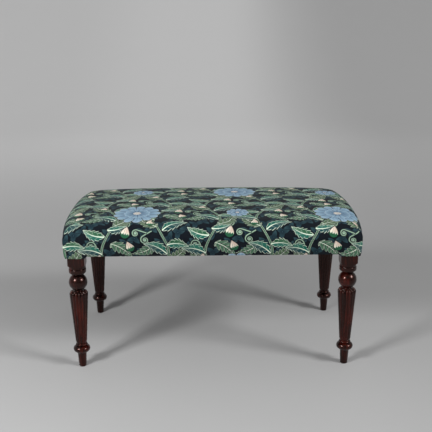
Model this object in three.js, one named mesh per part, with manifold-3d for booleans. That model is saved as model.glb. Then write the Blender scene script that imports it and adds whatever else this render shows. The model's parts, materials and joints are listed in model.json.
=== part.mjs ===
// An upholstered footstool on four turned and reeded legs. Millimetres, +Z up, the front towards -Y.
// The origin is on the floor, under the middle of the seat.
// Each leg's square post is a corner of the frame. The rails are dowelled to the posts, and a screwed
// brace backs each corner. Woven webbing, hessian, foam and wadding lie under the fabric cover.

import * as THREE from "three";
import { mergeVertices } from "three/addons/utils/BufferGeometryUtils.js";
import Module from "manifold-3d";

const wasm = await Module();
wasm.setup();

// The frame.
const legSpacingX = 800; // between leg axes, along the width
const legSpacingY = 412; // between leg axes, front to back
const legHeight = 360; // floor to the underside of the rails
const postWidth = 50; // the square top of a leg
const postArris = 3; // the flat taken off each corner of a post
const railHeight = 56;
const railThickness = 22;
const railArris = 4; // the flat on a rail's outer top edge
const fit = 0.3; // the gap between pieces that touch
const overrun = 5; // how far a cutting shape runs past what it cuts

// The turned part of a leg, from the floor up.
const footHeight = 47.5;
const footRadius = 11;
const footTopRadius = 13.5;
const footArris = 1.5;
const beadHeight = 21.5;
const beadRadius = 25;
const ringHeight = 6.5; // of the small ring on the bead
const ringRadius = 17.5;
const beadNeckHeight = 3.5;
const beadNeckRadius = 14;
const reedCount = 16;
const reedRootRadius = 17; // over the reeds, just above the bead
const reedRootHeight = 8; // where the reeds rise out of the neck
const reedTopRadius = 27.2; // over the reeds, under the shoulder
const reedTipHeight = 11; // where the reeds curl in over the shoulder
const ballRadius = 27.2;
const ballNeckRadius = 12.5;
const ballNeckHeight = 2.5;
const collarHeight = 16.5;
const collarRadius = 25.5;
const quirkRadius = 23.4; // between the collar and the pommel
const pommelHeight = 20.5; // where the square block is turned down towards the collar
const blockHeight = 24; // the plain square block under the rails

// The shapes of the turnings, as shares of the sizes above.
const reedDepthShare = 0.085; // of the radius there
const reedSectionShares = [0, 0.9, 0.9]; // of the depth, from one valley towards the next
const reedRootShares = [[0.84, 0], [1, 1]]; // of the radius, of the root's height
const reedTipShares = [[1, 0], [0.96, 0.45], [0.82, 0.8], [0.56, 1]]; // of the radius, of the tip's height
const collarEdgeShare = 0.45; // of the collar's height, rounded at its foot
const pommelShares = [[0, 0], [0.1, 0.2], [0.14, 0.42], [0.55, 0.55], [0.85, 0.76], [1, 1]]; // of the reach, of the height

// The joints of the frame.
const dowelRadius = 4;
const dowelLength = 50;
const dowelChamfer = 1;
const dowelLevelShares = { x: [0.14, 0.6], y: [0.37, 0.83] }; // of the rail's height, by the dowel's axis
const braceThickness = 30;
const braceHeight = 36;
const braceInset = 10; // above the underside of the rails
const screwLength = 34;
const screwRadius = 2;
const screwHeadRadius = 4;
const screwHeadHeight = 3;
const screwTipLength = 5;
const screwSeatDepth = 6; // of the counterbore, at its shallowest
const stretcherThickness = 20;
const stretcherHeight = 32;
const stretcherDrop = 12; // below the top of the rails
const stretcherHousing = 7; // how far it is let into each long rail

// The stuffing, from the rails up.
const webWidth = 50;
const webThickness = 1.6;
const webCountLong = 3; // straps that run along the width
const webCountCross = 7; // straps that run front to back
const webEndMargin = 5; // from a strap's end to the outer face of the rail
const webLevelStretch = 4; // that a strap keeps level past a crossing
const hessianThickness = 0.8;
const hessianMargin = 6;
const padHeight = 47; // from the top of the rails to the top of the crown
const waddingThickness = 4.5; // over the foam
const waddingInset = 12; // its lower edge, above the underside of the rails

// The cover.
const clothThickness = 1.2;
const cornerStandOff = 7; // at the corners, from the frame to the cover's widest line
const rollReach = 52; // of the roll along the top edge, inwards
const rollDrop = 43; // and downwards
const crownRise = 7; // of the middle over the roll
const endBow = 20; // how far the middle of each end swells past the corners
const sideBow = 10; // and the middle of each long side
const cornerDraw = 4; // how far the corners are drawn down
const lowerCornerRadius = 5;
const cornerRadius = 12; // at the widest line
const upperCornerRadius = 30;
const turnUnder = 20; // the cloth's return under the rails
const dustThickness = 0.8;
const dustMargin = 8;
const dustRelief = 2; // round each leg

// The shapes of the cover, as shares of the sizes above.
const lowerSideShares = [[1, 0], [0.42, 0.25], [0.1, 0.6]]; // of the lower inset, of the height to the roll
const crownShares = [0.76, 0.42]; // of the ring at the inner edge of the roll
const rollAngles = [0, 25, 50, 72, 90].map((degrees) => (degrees * Math.PI) / 180);
const endBowPower = 2.4; // how squarely an end bows
const sideBowPower = 4;
const drawPower = 3; // how quickly the corners are drawn down

// How finely round shapes are cut up.
const legSegments = 16;
const boltSegments = 10; // round a dowel or a screw
const beadSteps = 5;
const ringArcSteps = 4;
const ballSteps = 7;
const collarSteps = 3;
const ringSteps = { long: 8, short: 6, corner: 3 };

// Places that several pieces share.
const railBottom = legHeight;
const railTop = railBottom + railHeight;
const frameHalfX = (legSpacingX + postWidth) / 2;
const frameHalfY = (legSpacingY + postWidth) / 2;
const innerHalfX = frameHalfX - railThickness;
const innerHalfY = frameHalfY - railThickness;
const webLower = railTop + fit;
const webUpper = webLower + webThickness + fit;
const hessianBottom = webUpper + webThickness + fit;
const foamBottom = hessianBottom + hessianThickness + fit;
const crownTop = railTop + padHeight;
const clothBottom = railBottom - fit - clothThickness;
const corners = [
  { name: "front_left", x: -1, y: -1 },
  { name: "front_right", x: 1, y: -1 },
  { name: "back_left", x: -1, y: 1 },
  { name: "back_right", x: 1, y: 1 },
];

// Finishes.
function finish(color, roughness, metalness = 0) {
  return new THREE.MeshStandardMaterial({ color, roughness, metalness });
}
const mahogany = finish(0x35160f, 0.25);
const beech = finish(0xc9a878, 0.7);
const zincedSteel = finish(0xb9a55a, 0.35, 1);
const jute = finish(0xa98a5a, 0.9);
const foamStuff = finish(0xe8e2c8, 0.95);
const waddingStuff = finish(0xf2f2ee, 1);
const printedCloth = finish(0x24453f, 0.85);
const blackCloth = finish(0x16161a, 0.95);

const stool = new THREE.Group();

// A closed geometry as a solid that can be joined and cut.
function solidOf(geometry) {
  const bare = geometry.index ? geometry.toNonIndexed() : geometry.clone();
  const points = new THREE.BufferGeometry().setAttribute("position", bare.getAttribute("position"));
  const merged = mergeVertices(points, fit / 1000);
  return new wasm.Manifold(
    new wasm.Mesh({
      numProp: 3,
      vertProperties: merged.attributes.position.array,
      triVerts: new Uint32Array(merged.index.array),
    }),
  );
}

function geometryOf(solid) {
  const { vertProperties, triVerts } = solid.getMesh();
  const geometry = new THREE.BufferGeometry();
  geometry.setAttribute("position", new THREE.BufferAttribute(new Float32Array(vertProperties), 3));
  geometry.setIndex(new THREE.BufferAttribute(triVerts, 1));
  geometry.computeVertexNormals();
  return geometry;
}

function place(name, solid, material) {
  const mesh = new THREE.Mesh(geometryOf(solid), material);
  mesh.name = name;
  stool.add(mesh);
}

function cutBy(solid, cutters) {
  return cutters.reduce((left, cutter) => left.subtract(cutter), solid);
}

// A box about the Z axis, from one level to another.
function slab(halfX, halfY, bottom, top) {
  const geometry = new THREE.BoxGeometry(2 * halfX, 2 * halfY, top - bottom);
  return solidOf(geometry.translate(0, 0, (top + bottom) / 2));
}

// A turned solid about the Z axis, from [radius, level] pairs.
function turned(profile, segments) {
  const points = profile.map(([radius, level]) => new THREE.Vector2(radius, level));
  return solidOf(new THREE.LatheGeometry(points, segments).rotateX(Math.PI / 2));
}

// A solid of one outline in the XY plane, from one level to another.
function plate(outline, bottom, top) {
  const shape = new THREE.Shape(outline.map(([x, y]) => new THREE.Vector2(x, y)));
  const depth = top - bottom;
  return solidOf(new THREE.ExtrudeGeometry(shape, { depth, bevelEnabled: false }).translate(0, 0, bottom));
}

// The outline of a rectangle with its corners taken off.
function arrised(halfX, halfY, arris) {
  const [flatX, flatY] = [halfX - arris, halfY - arris];
  return [
    [flatX, -halfY],
    [halfX, -flatY],
    [halfX, flatY],
    [flatX, halfY],
    [-flatX, halfY],
    [-halfX, flatY],
    [-halfX, -flatY],
    [-flatX, -halfY],
  ];
}

// A turned solid laid along X or Y, with its foot at `start`, pointing towards `way` (1 or -1).
function along(axis, solid, start, way) {
  const turn = axis === "x" ? [0, 90 * way, 0] : [-90 * way, 0, 0];
  return solid.rotate(turn).translate(start);
}

function rod(radius, length) {
  return turned([[0, 0], [radius, 0], [radius, length], [0, length]], boltSegments);
}

// Points on an oval in a turned profile, at angles up to `spread` either side of its widest point.
function oval(radius, level, reach, rise, spread, steps) {
  return Array.from({ length: steps + 1 }, (_, i) => {
    const angle = spread * ((2 * i) / steps - 1);
    return [radius + reach * Math.cos(angle), level + rise * Math.sin(angle)];
  });
}

// The mean of a ring's points.
function middle(ring) {
  return ring[0].map((_, axis) => ring.reduce((sum, point) => sum + point[axis], 0) / ring.length);
}

// A solid skinned over rings of points that all run the same way round, with a point at each end.
function skinned(rings, apex = middle(rings.at(-1))) {
  const count = rings[0].length;
  const points = [...rings.flat(), middle(rings[0]), apex];
  const lastRing = (rings.length - 1) * count;
  const index = [];
  for (let i = 0; i < count; i++) {
    const next = (i + 1) % count;
    for (let foot = 0; foot < lastRing; foot += count) {
      const [a, b, c, d] = [foot + i, foot + next, foot + next + count, foot + i + count];
      index.push(a, b, c, a, c, d);
    }
    index.push(next, i, points.length - 2, lastRing + i, lastRing + next, points.length - 1);
  }
  const geometry = new THREE.BufferGeometry();
  geometry.setAttribute("position", new THREE.Float32BufferAttribute(points.flat(), 3));
  geometry.setIndex(index);
  return solidOf(geometry);
}

// The leg. The reeded stretch takes up what the other turnings leave of its height.
const beadLevel = footHeight + beadHeight / 2;
const ringLevel = footHeight + beadHeight + ringHeight / 2;
const reedBottom = footHeight + beadHeight + ringHeight + beadNeckHeight;
const blockBottom = legHeight - blockHeight - pommelHeight;
const collarBottom = blockBottom - collarHeight;
const collarEdge = collarHeight * collarEdgeShare;
const collarLip = collarRadius - quirkRadius;
const ballHalfCut = Math.sqrt(ballRadius ** 2 - ballNeckRadius ** 2);
const ballLevel = collarBottom - ballNeckHeight - ballHalfCut;
const reedTop = ballLevel - ballHalfCut - ballNeckHeight;

function turnings() {
  const beadReach = beadRadius - footTopRadius;
  const beadSpread = Math.acos((beadNeckRadius - footTopRadius) / beadReach);
  const ringReach = ringRadius - beadNeckRadius;
  const ballSpread = Math.acos(ballNeckRadius / ballRadius);
  const collarCore = collarRadius - collarEdge;
  const collarLevel = collarBottom + collarEdge;
  return turned(
    [
      [0, 0],
      [footRadius - footArris, 0],
      [footRadius, footArris],
      [footTopRadius, footHeight],
      ...oval(footTopRadius, beadLevel, beadReach, beadHeight / 2, beadSpread, beadSteps),
      ...oval(beadNeckRadius, ringLevel, ringReach, ringHeight / 2, Math.PI / 2, ringArcSteps),
      [beadNeckRadius, reedBottom + overrun],
      [ballNeckRadius, reedTop - overrun],
      ...oval(0, ballLevel, ballRadius, ballRadius, ballSpread, ballSteps),
      [ballNeckRadius, collarBottom],
      ...oval(collarCore, collarLevel, collarEdge, collarEdge, Math.PI / 2, 2 * collarSteps).slice(0, collarSteps + 1),
      [collarRadius, blockBottom - collarLip],
      [quirkRadius, blockBottom],
      [quirkRadius - overrun, blockBottom + overrun],
      [0, blockBottom + overrun],
    ],
    legSegments,
  );
}

// A ring of the reeded stretch. Its reeds fade where the radius is a smaller share of the full one.
function reedRing(fullRadius, share, level) {
  const samples = reedSectionShares.length;
  const radius = fullRadius * share;
  const depth = radius * reedDepthShare * share;
  return Array.from({ length: reedCount * samples }, (_, i) => {
    const angle = (2 * Math.PI * i) / (reedCount * samples);
    const reach = radius - depth * (1 - reedSectionShares[i % samples]);
    return [reach * Math.cos(angle), reach * Math.sin(angle), level];
  });
}

function reeds() {
  const roots = reedRootShares.map(([share, rise]) =>
    reedRing(reedRootRadius, share, reedBottom + reedRootHeight * rise),
  );
  const tips = reedTipShares.map(([share, rise]) =>
    reedRing(reedTopRadius, share, reedTop - reedTipHeight * (1 - rise)),
  );
  return skinned([...roots, ...tips]);
}

// The square post, with its corners taken off, turned down to the collar at its lower end.
function post() {
  const half = postWidth / 2;
  const corner = half * Math.SQRT2;
  const reach = corner - quirkRadius;
  const pommel = pommelShares.map(([share, rise]) => [
    quirkRadius + reach * share,
    blockBottom + pommelHeight * rise,
  ]);
  const bell = turned(
    [
      [0, blockBottom],
      ...pommel,
      [corner + overrun, blockBottom + pommelHeight + overrun],
      [corner + overrun, railTop + overrun],
      [0, railTop + overrun],
    ],
    legSegments,
  );
  return plate(arrised(half, half, postArris), blockBottom, railTop).intersect(bell);
}

// Two dowels join each end of each rail to its post, on the middle of the rail's thickness.
// Those along X and those along Y are at different levels, so they pass each other in the post.
const dowelMiddle = postWidth / 2; // from a leg's axis, along the dowel
const dowelLine = (postWidth - railThickness) / 2; // and across it, towards the outside

function dowelSpots(corner) {
  const startX = legSpacingX / 2 - dowelMiddle + dowelLength / 2;
  const startY = legSpacingY / 2 - dowelMiddle + dowelLength / 2;
  const lineX = legSpacingX / 2 + dowelLine;
  const lineY = legSpacingY / 2 + dowelLine;
  const level = (share) => railBottom + railHeight * share;
  const spots = (axis, rail, x, y, way) =>
    dowelLevelShares[axis].map((share, i) => ({
      name: `dowel_${corner.name}_${rail}_${i ? "upper" : "lower"}`,
      axis,
      start: [x, y, level(share)],
      way,
    }));
  return [
    ...spots("x", "long", corner.x * startX, corner.y * lineY, -corner.x),
    ...spots("y", "short", corner.x * lineX, corner.y * startY, -corner.y),
  ];
}

function dowel() {
  const neck = dowelRadius - dowelChamfer;
  return turned(
    [
      [0, 0],
      [neck, 0],
      [dowelRadius, dowelChamfer],
      [dowelRadius, dowelLength - dowelChamfer],
      [neck, dowelLength],
      [0, dowelLength],
    ],
    boltSegments,
  );
}

function dowelBores(corner) {
  const bore = rod(dowelRadius + fit, dowelLength + 2 * fit).translate([0, 0, -fit]);
  return dowelSpots(corner).map((spot) => along(spot.axis, bore, spot.start, spot.way));
}

const leg = turnings().add(reeds()).add(post());
for (const corner of corners) {
  const standing = leg.translate([(corner.x * legSpacingX) / 2, (corner.y * legSpacingY) / 2, 0]);
  place(`leg_${corner.name}`, cutBy(standing, dowelBores(corner)), mahogany);
  for (const spot of dowelSpots(corner)) {
    place(spot.name, along(spot.axis, dowel(), spot.start, spot.way), beech);
  }
}

// A corner brace spans two rails just inside a post, and a screw holds it to each rail.
// Reaches are measured inwards from the leg's axis.
const braceOuter = postWidth + fit * Math.SQRT2; // x + y on its outer face
const braceInner = braceOuter + braceThickness * Math.SQRT2; // and on its inner face
const railFace = railThickness + fit - postWidth / 2; // the inner face of a rail, and the gap
const braceBottom = railBottom + braceInset;
const screwLevel = braceBottom + braceHeight / 2;
const screwReach = (braceOuter + braceInner) / 2 - railFace; // along the rail, to the screw
const screwHeadReach = railFace + (braceInner - braceOuter) / 2 - screwSeatDepth; // across it

// The screw into the long rail runs along Y, and the one into the short rail along X.
function screwSpots(corner) {
  const atX = (reach) => corner.x * (legSpacingX / 2 - reach);
  const atY = (reach) => corner.y * (legSpacingY / 2 - reach);
  return [
    { axis: "y", rail: "long", start: [atX(screwReach), atY(screwHeadReach), screwLevel], way: corner.y },
    { axis: "x", rail: "short", start: [atX(screwHeadReach), atY(screwReach), screwLevel], way: corner.x },
  ];
}

function screw() {
  return turned(
    [
      [0, 0],
      [screwHeadRadius, 0],
      [screwRadius, screwHeadHeight],
      [screwRadius, screwLength - screwTipLength],
      [0, screwLength],
    ],
    boltSegments,
  );
}

function screwBore(spot) {
  const shank = rod(screwRadius + fit, screwLength + 2 * fit);
  const seat = turned(
    [
      [0, -braceThickness],
      [screwHeadRadius + fit, -braceThickness],
      [screwHeadRadius + fit, fit],
      [screwRadius + fit, screwHeadHeight + fit],
      [0, screwHeadHeight + fit],
    ],
    boltSegments,
  );
  return along(spot.axis, shank.add(seat), spot.start, spot.way);
}

function cornerBrace(corner) {
  const outline = [
    [braceOuter - railFace, railFace],
    [braceInner - railFace, railFace],
    [railFace, braceInner - railFace],
    [railFace, braceOuter - railFace],
  ].map(([x, y]) => [corner.x * (legSpacingX / 2 - x), corner.y * (legSpacingY / 2 - y)]);
  return cutBy(plate(outline, braceBottom, braceBottom + braceHeight), screwSpots(corner).map(screwBore));
}

for (const corner of corners) {
  place(`corner_brace_${corner.name}`, cornerBrace(corner), beech);
  for (const spot of screwSpots(corner)) {
    place(`screw_${corner.name}_${spot.rail}`, along(spot.axis, screw(), spot.start, spot.way), zincedSteel);
  }
}

// The stretcher is let into the inner faces of the long rails. `clear` is added all round for its housing.
function stretcher(clear) {
  const top = railTop - stretcherDrop;
  return slab(
    stretcherThickness / 2 + clear,
    innerHalfY + stretcherHousing + clear,
    top - stretcherHeight - clear,
    top + clear,
  );
}
place("centre_stretcher", stretcher(0), beech);

// A rail along Y whose outer face is at X = 0 and whose inner face is towards +X.
function railBlank(length) {
  const outline = [
    [0, 0],
    [railThickness, 0],
    [railThickness, railHeight],
    [railArris, railHeight],
    [0, railHeight - railArris],
  ];
  return plate(outline, -length / 2, length / 2).rotate([90, 0, 0]);
}

function rail({ kind, side, turn }) {
  const long = kind === "long";
  const length = (long ? legSpacingX : legSpacingY) - postWidth - 2 * fit;
  const outerFace = long ? [0, side * frameHalfY, railBottom] : [side * frameHalfX, 0, railBottom];
  const ends = corners.filter((corner) => (long ? corner.y : corner.x) === side);
  const screwBores = ends.flatMap(screwSpots).filter((spot) => spot.rail === kind).map(screwBore);
  const housing = long ? [stretcher(fit)] : [];
  const standing = railBlank(length).rotate([0, 0, turn]).translate(outerFace);
  return cutBy(standing, [...ends.flatMap(dowelBores), ...screwBores, ...housing]);
}
place("rail_left", rail({ kind: "short", side: -1, turn: 0 }), beech);
place("rail_front", rail({ kind: "long", side: -1, turn: 90 }), beech);
place("rail_right", rail({ kind: "short", side: 1, turn: 180 }), beech);
place("rail_back", rail({ kind: "long", side: 1, turn: 270 }), beech);

// The webbing. Each strap goes over one crossing strap and under the next.
function evenSpots(count, half) {
  return Array.from({ length: count }, (_, i) => half * ((2 * (i + 1)) / (count + 1) - 1));
}

// A strap along X about its own middle line, raised where `raised` says so.
function strap(half, crossings, raised) {
  const stretch = webWidth / 2 + webLevelStretch;
  const underside = crossings.flatMap((spot, i) => {
    const level = raised(i) ? webUpper : webLower;
    return [[spot - stretch, level], [spot + stretch, level]];
  });
  const lower = [[-half, webLower], ...underside, [half, webLower]];
  const upper = lower.map(([x, level]) => [x, level + webThickness]).reverse();
  return plate([...lower, ...upper], -webWidth / 2, webWidth / 2).rotate([90, 0, 0]);
}

const longSpots = evenSpots(webCountLong, innerHalfY);
const crossSpots = evenSpots(webCountCross, innerHalfX);
longSpots.forEach((spot, row) => {
  const web = strap(frameHalfX - webEndMargin, crossSpots, (i) => (i + row) % 2 === 0);
  place(`webbing_long_${row + 1}`, web.translate([0, spot, 0]), jute);
});
crossSpots.forEach((spot, column) => {
  const web = strap(frameHalfY - webEndMargin, longSpots, (i) => (i + column) % 2 === 1);
  place(`webbing_cross_${column + 1}`, web.rotate([0, 0, 90]).translate([spot, 0, 0]), jute);
});

function hessian() {
  const top = hessianBottom + hessianThickness;
  return slab(frameHalfX - hessianMargin, frameHalfY - hessianMargin, hessianBottom, top);
}
place("hessian", hessian(), jute);

// The cover's outside, or a surface some depth inside it. Its rings run up the side, over the roll and
// onto the crown. The sides bow out between the corners, and the corners are drawn down.
const coverHalfX = frameHalfX + cornerStandOff;
const coverHalfY = frameHalfY + cornerStandOff;
const rollTop = crownTop - crownRise;
const rollBottom = rollTop - rollDrop;
const lowerInset = cornerStandOff - fit - clothThickness;

// The section across one side, from the lower edge to the inner edge of the roll.
function sideSection() {
  const lower = lowerSideShares.map(([inset, rise]) => ({
    inset: inset * lowerInset,
    level: clothBottom + rise * (rollBottom - clothBottom),
    fullness: rise,
    radius: lowerCornerRadius + (cornerRadius - lowerCornerRadius) * rise,
  }));
  const roll = rollAngles.map((angle) => ({
    inset: rollReach * (1 - Math.cos(angle)),
    level: rollBottom + rollDrop * Math.sin(angle),
    fullness: 1,
    radius: cornerRadius + (upperCornerRadius - cornerRadius) * (1 - Math.cos(angle)),
  }));
  return [...lower, ...roll];
}

// Even shares from nought to one.
function sharesUpTo(steps) {
  return Array.from({ length: steps + 1 }, (_, i) => i / steps);
}

// A rounded rectangle that runs anticlockwise, with the same number of points whatever its size.
function roundedRing(halfX, halfY, radius) {
  const quarters = [[1, 1], [-1, 1], [-1, -1], [1, -1]];
  const cornerPoint = (quarter, share) => {
    const [x, y] = quarters[quarter % quarters.length];
    const angle = (Math.PI / 2) * (quarter + share);
    return [x * (halfX - radius) + radius * Math.cos(angle), y * (halfY - radius) + radius * Math.sin(angle)];
  };
  const between = (from, to, share) => from.map((value, axis) => value + (to[axis] - value) * share);
  return quarters.flatMap((_, quarter) => {
    const [from, to] = [cornerPoint(quarter, 1), cornerPoint(quarter + 1, 0)];
    const steps = quarter % 2 ? ringSteps.short : ringSteps.long;
    const arc = sharesUpTo(ringSteps.corner).map((share) => cornerPoint(quarter, share));
    return [...arc, ...sharesUpTo(steps).slice(1, -1).map((share) => between(from, to, share))];
  });
}

// The way that the section faces at one of its points: inwards and down, for a depth of one.
function inwardAt(section, i) {
  if (i === 0) return [1, -1];
  if (i === section.length - 1) return [0, 1];
  const [before, after] = [section[i - 1], section[i + 1]];
  const run = [after.inset - before.inset, after.level - before.level];
  const length = Math.hypot(...run);
  return [run[1] / length, run[0] / length];
}

function padSolid(depth) {
  const section = sideSection();
  const rings = section.map(({ inset, level, fullness, radius }, i) => {
    const [inward, down] = inwardAt(section, i);
    const halfX = coverHalfX - inset - inward * depth;
    const halfY = coverHalfY - inset - inward * depth;
    return roundedRing(halfX, halfY, Math.max(radius - inward * depth, fit)).map(([x, y]) => {
      const [shareX, shareY] = [Math.abs(x) / halfX, Math.abs(y) / halfY];
      const bowX = shareX > shareY ? endBow * fullness * shareX * (1 - shareY ** endBowPower) : 0;
      const bowY = shareY > shareX ? sideBow * fullness * shareY * (1 - shareX ** sideBowPower) : 0;
      const draw = cornerDraw * fullness ** 2 * (shareX * shareY) ** drawPower;
      return [x + Math.sign(x) * bowX, y + Math.sign(y) * bowY, level - down * depth - draw];
    });
  });
  const flat = rollTop - depth;
  const rim = rings.at(-1);
  const crown = crownShares.map((share) =>
    rim.map(([x, y, level]) => [
      x * share,
      y * share,
      flat + (level - flat) * share ** drawPower + crownRise * (1 - share ** 2),
    ]),
  );
  return skinned([...rings, ...crown], [0, 0, crownTop - depth]);
}

// The foam fills the space above the hessian, and the wadding wraps it and the outside of the frame.
const foamDepth = clothThickness + waddingThickness + 2 * fit;

function above(level) {
  return slab(coverHalfX + endBow + overrun, coverHalfY + sideBow + overrun, level, crownTop + overrun);
}

function wadding() {
  const foamHollow = padSolid(foamDepth - fit).intersect(above(foamBottom - fit));
  const frameOutline = arrised(frameHalfX + fit, frameHalfY + fit, postArris);
  const frameHollow = plate(frameOutline, railBottom - overrun, foamBottom - fit);
  const outside = padSolid(clothThickness + fit).intersect(above(railBottom + waddingInset));
  return cutBy(outside, [foamHollow, frameHollow]);
}
place("foam_pad", padSolid(foamDepth).intersect(above(foamBottom)), foamStuff);
place("wadding", wadding(), waddingStuff);

// The clear space that a sheet under the rails leaves round each post.
function postReliefs(clearance, bottom, top) {
  const half = postWidth / 2 + clearance;
  const relief = plate(arrised(half, half, postArris), bottom, top);
  return corners.map(({ x, y }) => relief.translate([(x * legSpacingX) / 2, (y * legSpacingY) / 2, 0]));
}

// The cover turns under the rails, and is open over the middle of the underside.
function cover() {
  const hull = padSolid(0).subtract(padSolid(clothThickness));
  const opening = slab(
    frameHalfX - turnUnder,
    frameHalfY - turnUnder,
    clothBottom - overrun,
    clothBottom + clothThickness + overrun,
  );
  return cutBy(hull, [opening, ...postReliefs(fit, clothBottom - overrun, railBottom)]);
}
place("cover", cover(), printedCloth);

function dustCloth() {
  const top = clothBottom - fit;
  const bottom = top - dustThickness;
  const sheet = slab(frameHalfX - dustMargin, frameHalfY - dustMargin, bottom, top);
  return cutBy(sheet, postReliefs(dustRelief, bottom - overrun, top + overrun));
}
place("dust_cloth", dustCloth(), blackCloth);

export default stool;
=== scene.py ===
"""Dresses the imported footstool: turned mahogany legs, a stuffed seat under a printed cover, and the studio.

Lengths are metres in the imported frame: +Z up, the front towards -Y, the floor at z = 0.
"""

import json
import logging
import math
from dataclasses import dataclass, field, replace
from enum import Enum
from functools import cached_property, reduce
from typing import Callable, Optional, Sequence, Union

import bmesh
import bpy
import numpy as np
from mathutils import Matrix, Vector

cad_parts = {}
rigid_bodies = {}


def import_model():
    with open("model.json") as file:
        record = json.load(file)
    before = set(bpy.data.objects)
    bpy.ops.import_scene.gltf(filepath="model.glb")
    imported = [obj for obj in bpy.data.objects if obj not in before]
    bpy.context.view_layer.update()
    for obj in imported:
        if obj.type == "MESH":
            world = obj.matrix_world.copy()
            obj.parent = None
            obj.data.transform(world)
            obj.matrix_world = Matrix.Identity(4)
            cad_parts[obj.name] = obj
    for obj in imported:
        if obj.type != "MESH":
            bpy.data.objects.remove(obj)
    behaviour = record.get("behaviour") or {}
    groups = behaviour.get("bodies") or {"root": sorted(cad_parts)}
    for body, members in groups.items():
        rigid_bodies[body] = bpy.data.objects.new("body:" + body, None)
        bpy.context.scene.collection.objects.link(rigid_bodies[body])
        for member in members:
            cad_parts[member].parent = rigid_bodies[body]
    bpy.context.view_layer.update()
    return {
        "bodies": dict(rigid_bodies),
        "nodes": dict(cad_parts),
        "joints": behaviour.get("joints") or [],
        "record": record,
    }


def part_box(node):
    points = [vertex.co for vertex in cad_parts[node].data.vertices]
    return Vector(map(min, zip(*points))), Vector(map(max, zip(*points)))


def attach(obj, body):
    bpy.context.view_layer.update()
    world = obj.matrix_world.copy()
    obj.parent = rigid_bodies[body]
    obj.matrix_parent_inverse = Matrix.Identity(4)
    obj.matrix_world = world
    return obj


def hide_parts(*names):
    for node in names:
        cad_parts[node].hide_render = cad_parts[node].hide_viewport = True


log = logging.getLogger("footstool")

BODY = "root"
MM = 0.001
TAU = 2 * math.pi
QUARTER = math.pi / 2  # a quarter of a turn

Colour = tuple[float, float, float, float]
Steps = tuple[float, float, float, float]  # from and to, and the values there
Feed = Union[float, int, bool, str, Sequence[float], "Wire", None]
Number = Union[float, np.ndarray]
Places = list[tuple[float, float]]
Face = tuple[int, ...]


def ink(red: int, green: int, blue: int) -> Colour:
    """A colour as a screen shows it, from 0 to 255, turned to the linear values that shaders take."""
    return (*(((c / 255 + 0.055) / 1.055) ** 2.4 if c > 10 else c / 3295 for c in (red, green, blue)), 1.0)


class Corner(Enum):
    """A corner of the stool, as the signs of its X and Y."""

    BACK_RIGHT = (1, 1)
    BACK_LEFT = (-1, 1)
    FRONT_LEFT = (-1, -1)
    FRONT_RIGHT = (1, -1)

    @property
    def label(self) -> str:
        """The corner's name as the CAD nodes have it."""
        return self.name.lower()


class Panel(Enum):
    """The part of the cover that a point is drawn on when the cloth is laid flat."""

    LONG = 0
    END = 1


def both_ways(operation: str) -> tuple[Callable, Callable]:
    """Two methods for one of Python's signs: the wire before the other term, and after it."""
    return (
        lambda wire, other: wire.graph.math(operation, wire, other),
        lambda wire, other: wire.graph.math(operation, other, wire),
    )


class Wire:
    """An output of a node, which takes part in sums."""

    __add__, __radd__ = both_ways("ADD")
    __sub__, __rsub__ = both_ways("SUBTRACT")
    __mul__, __rmul__ = both_ways("MULTIPLY")
    __truediv__, __rtruediv__ = both_ways("DIVIDE")
    __pow__, __rpow__ = both_ways("POWER")

    def __init__(self, graph: "Graph", socket: bpy.types.NodeSocket) -> None:
        """Keeps the graph that the socket is in."""
        self.graph = graph
        self.socket = socket

    def __abs__(self) -> "Wire":
        """The size without its sign."""
        return self.graph.math("ABSOLUTE", self)


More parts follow.
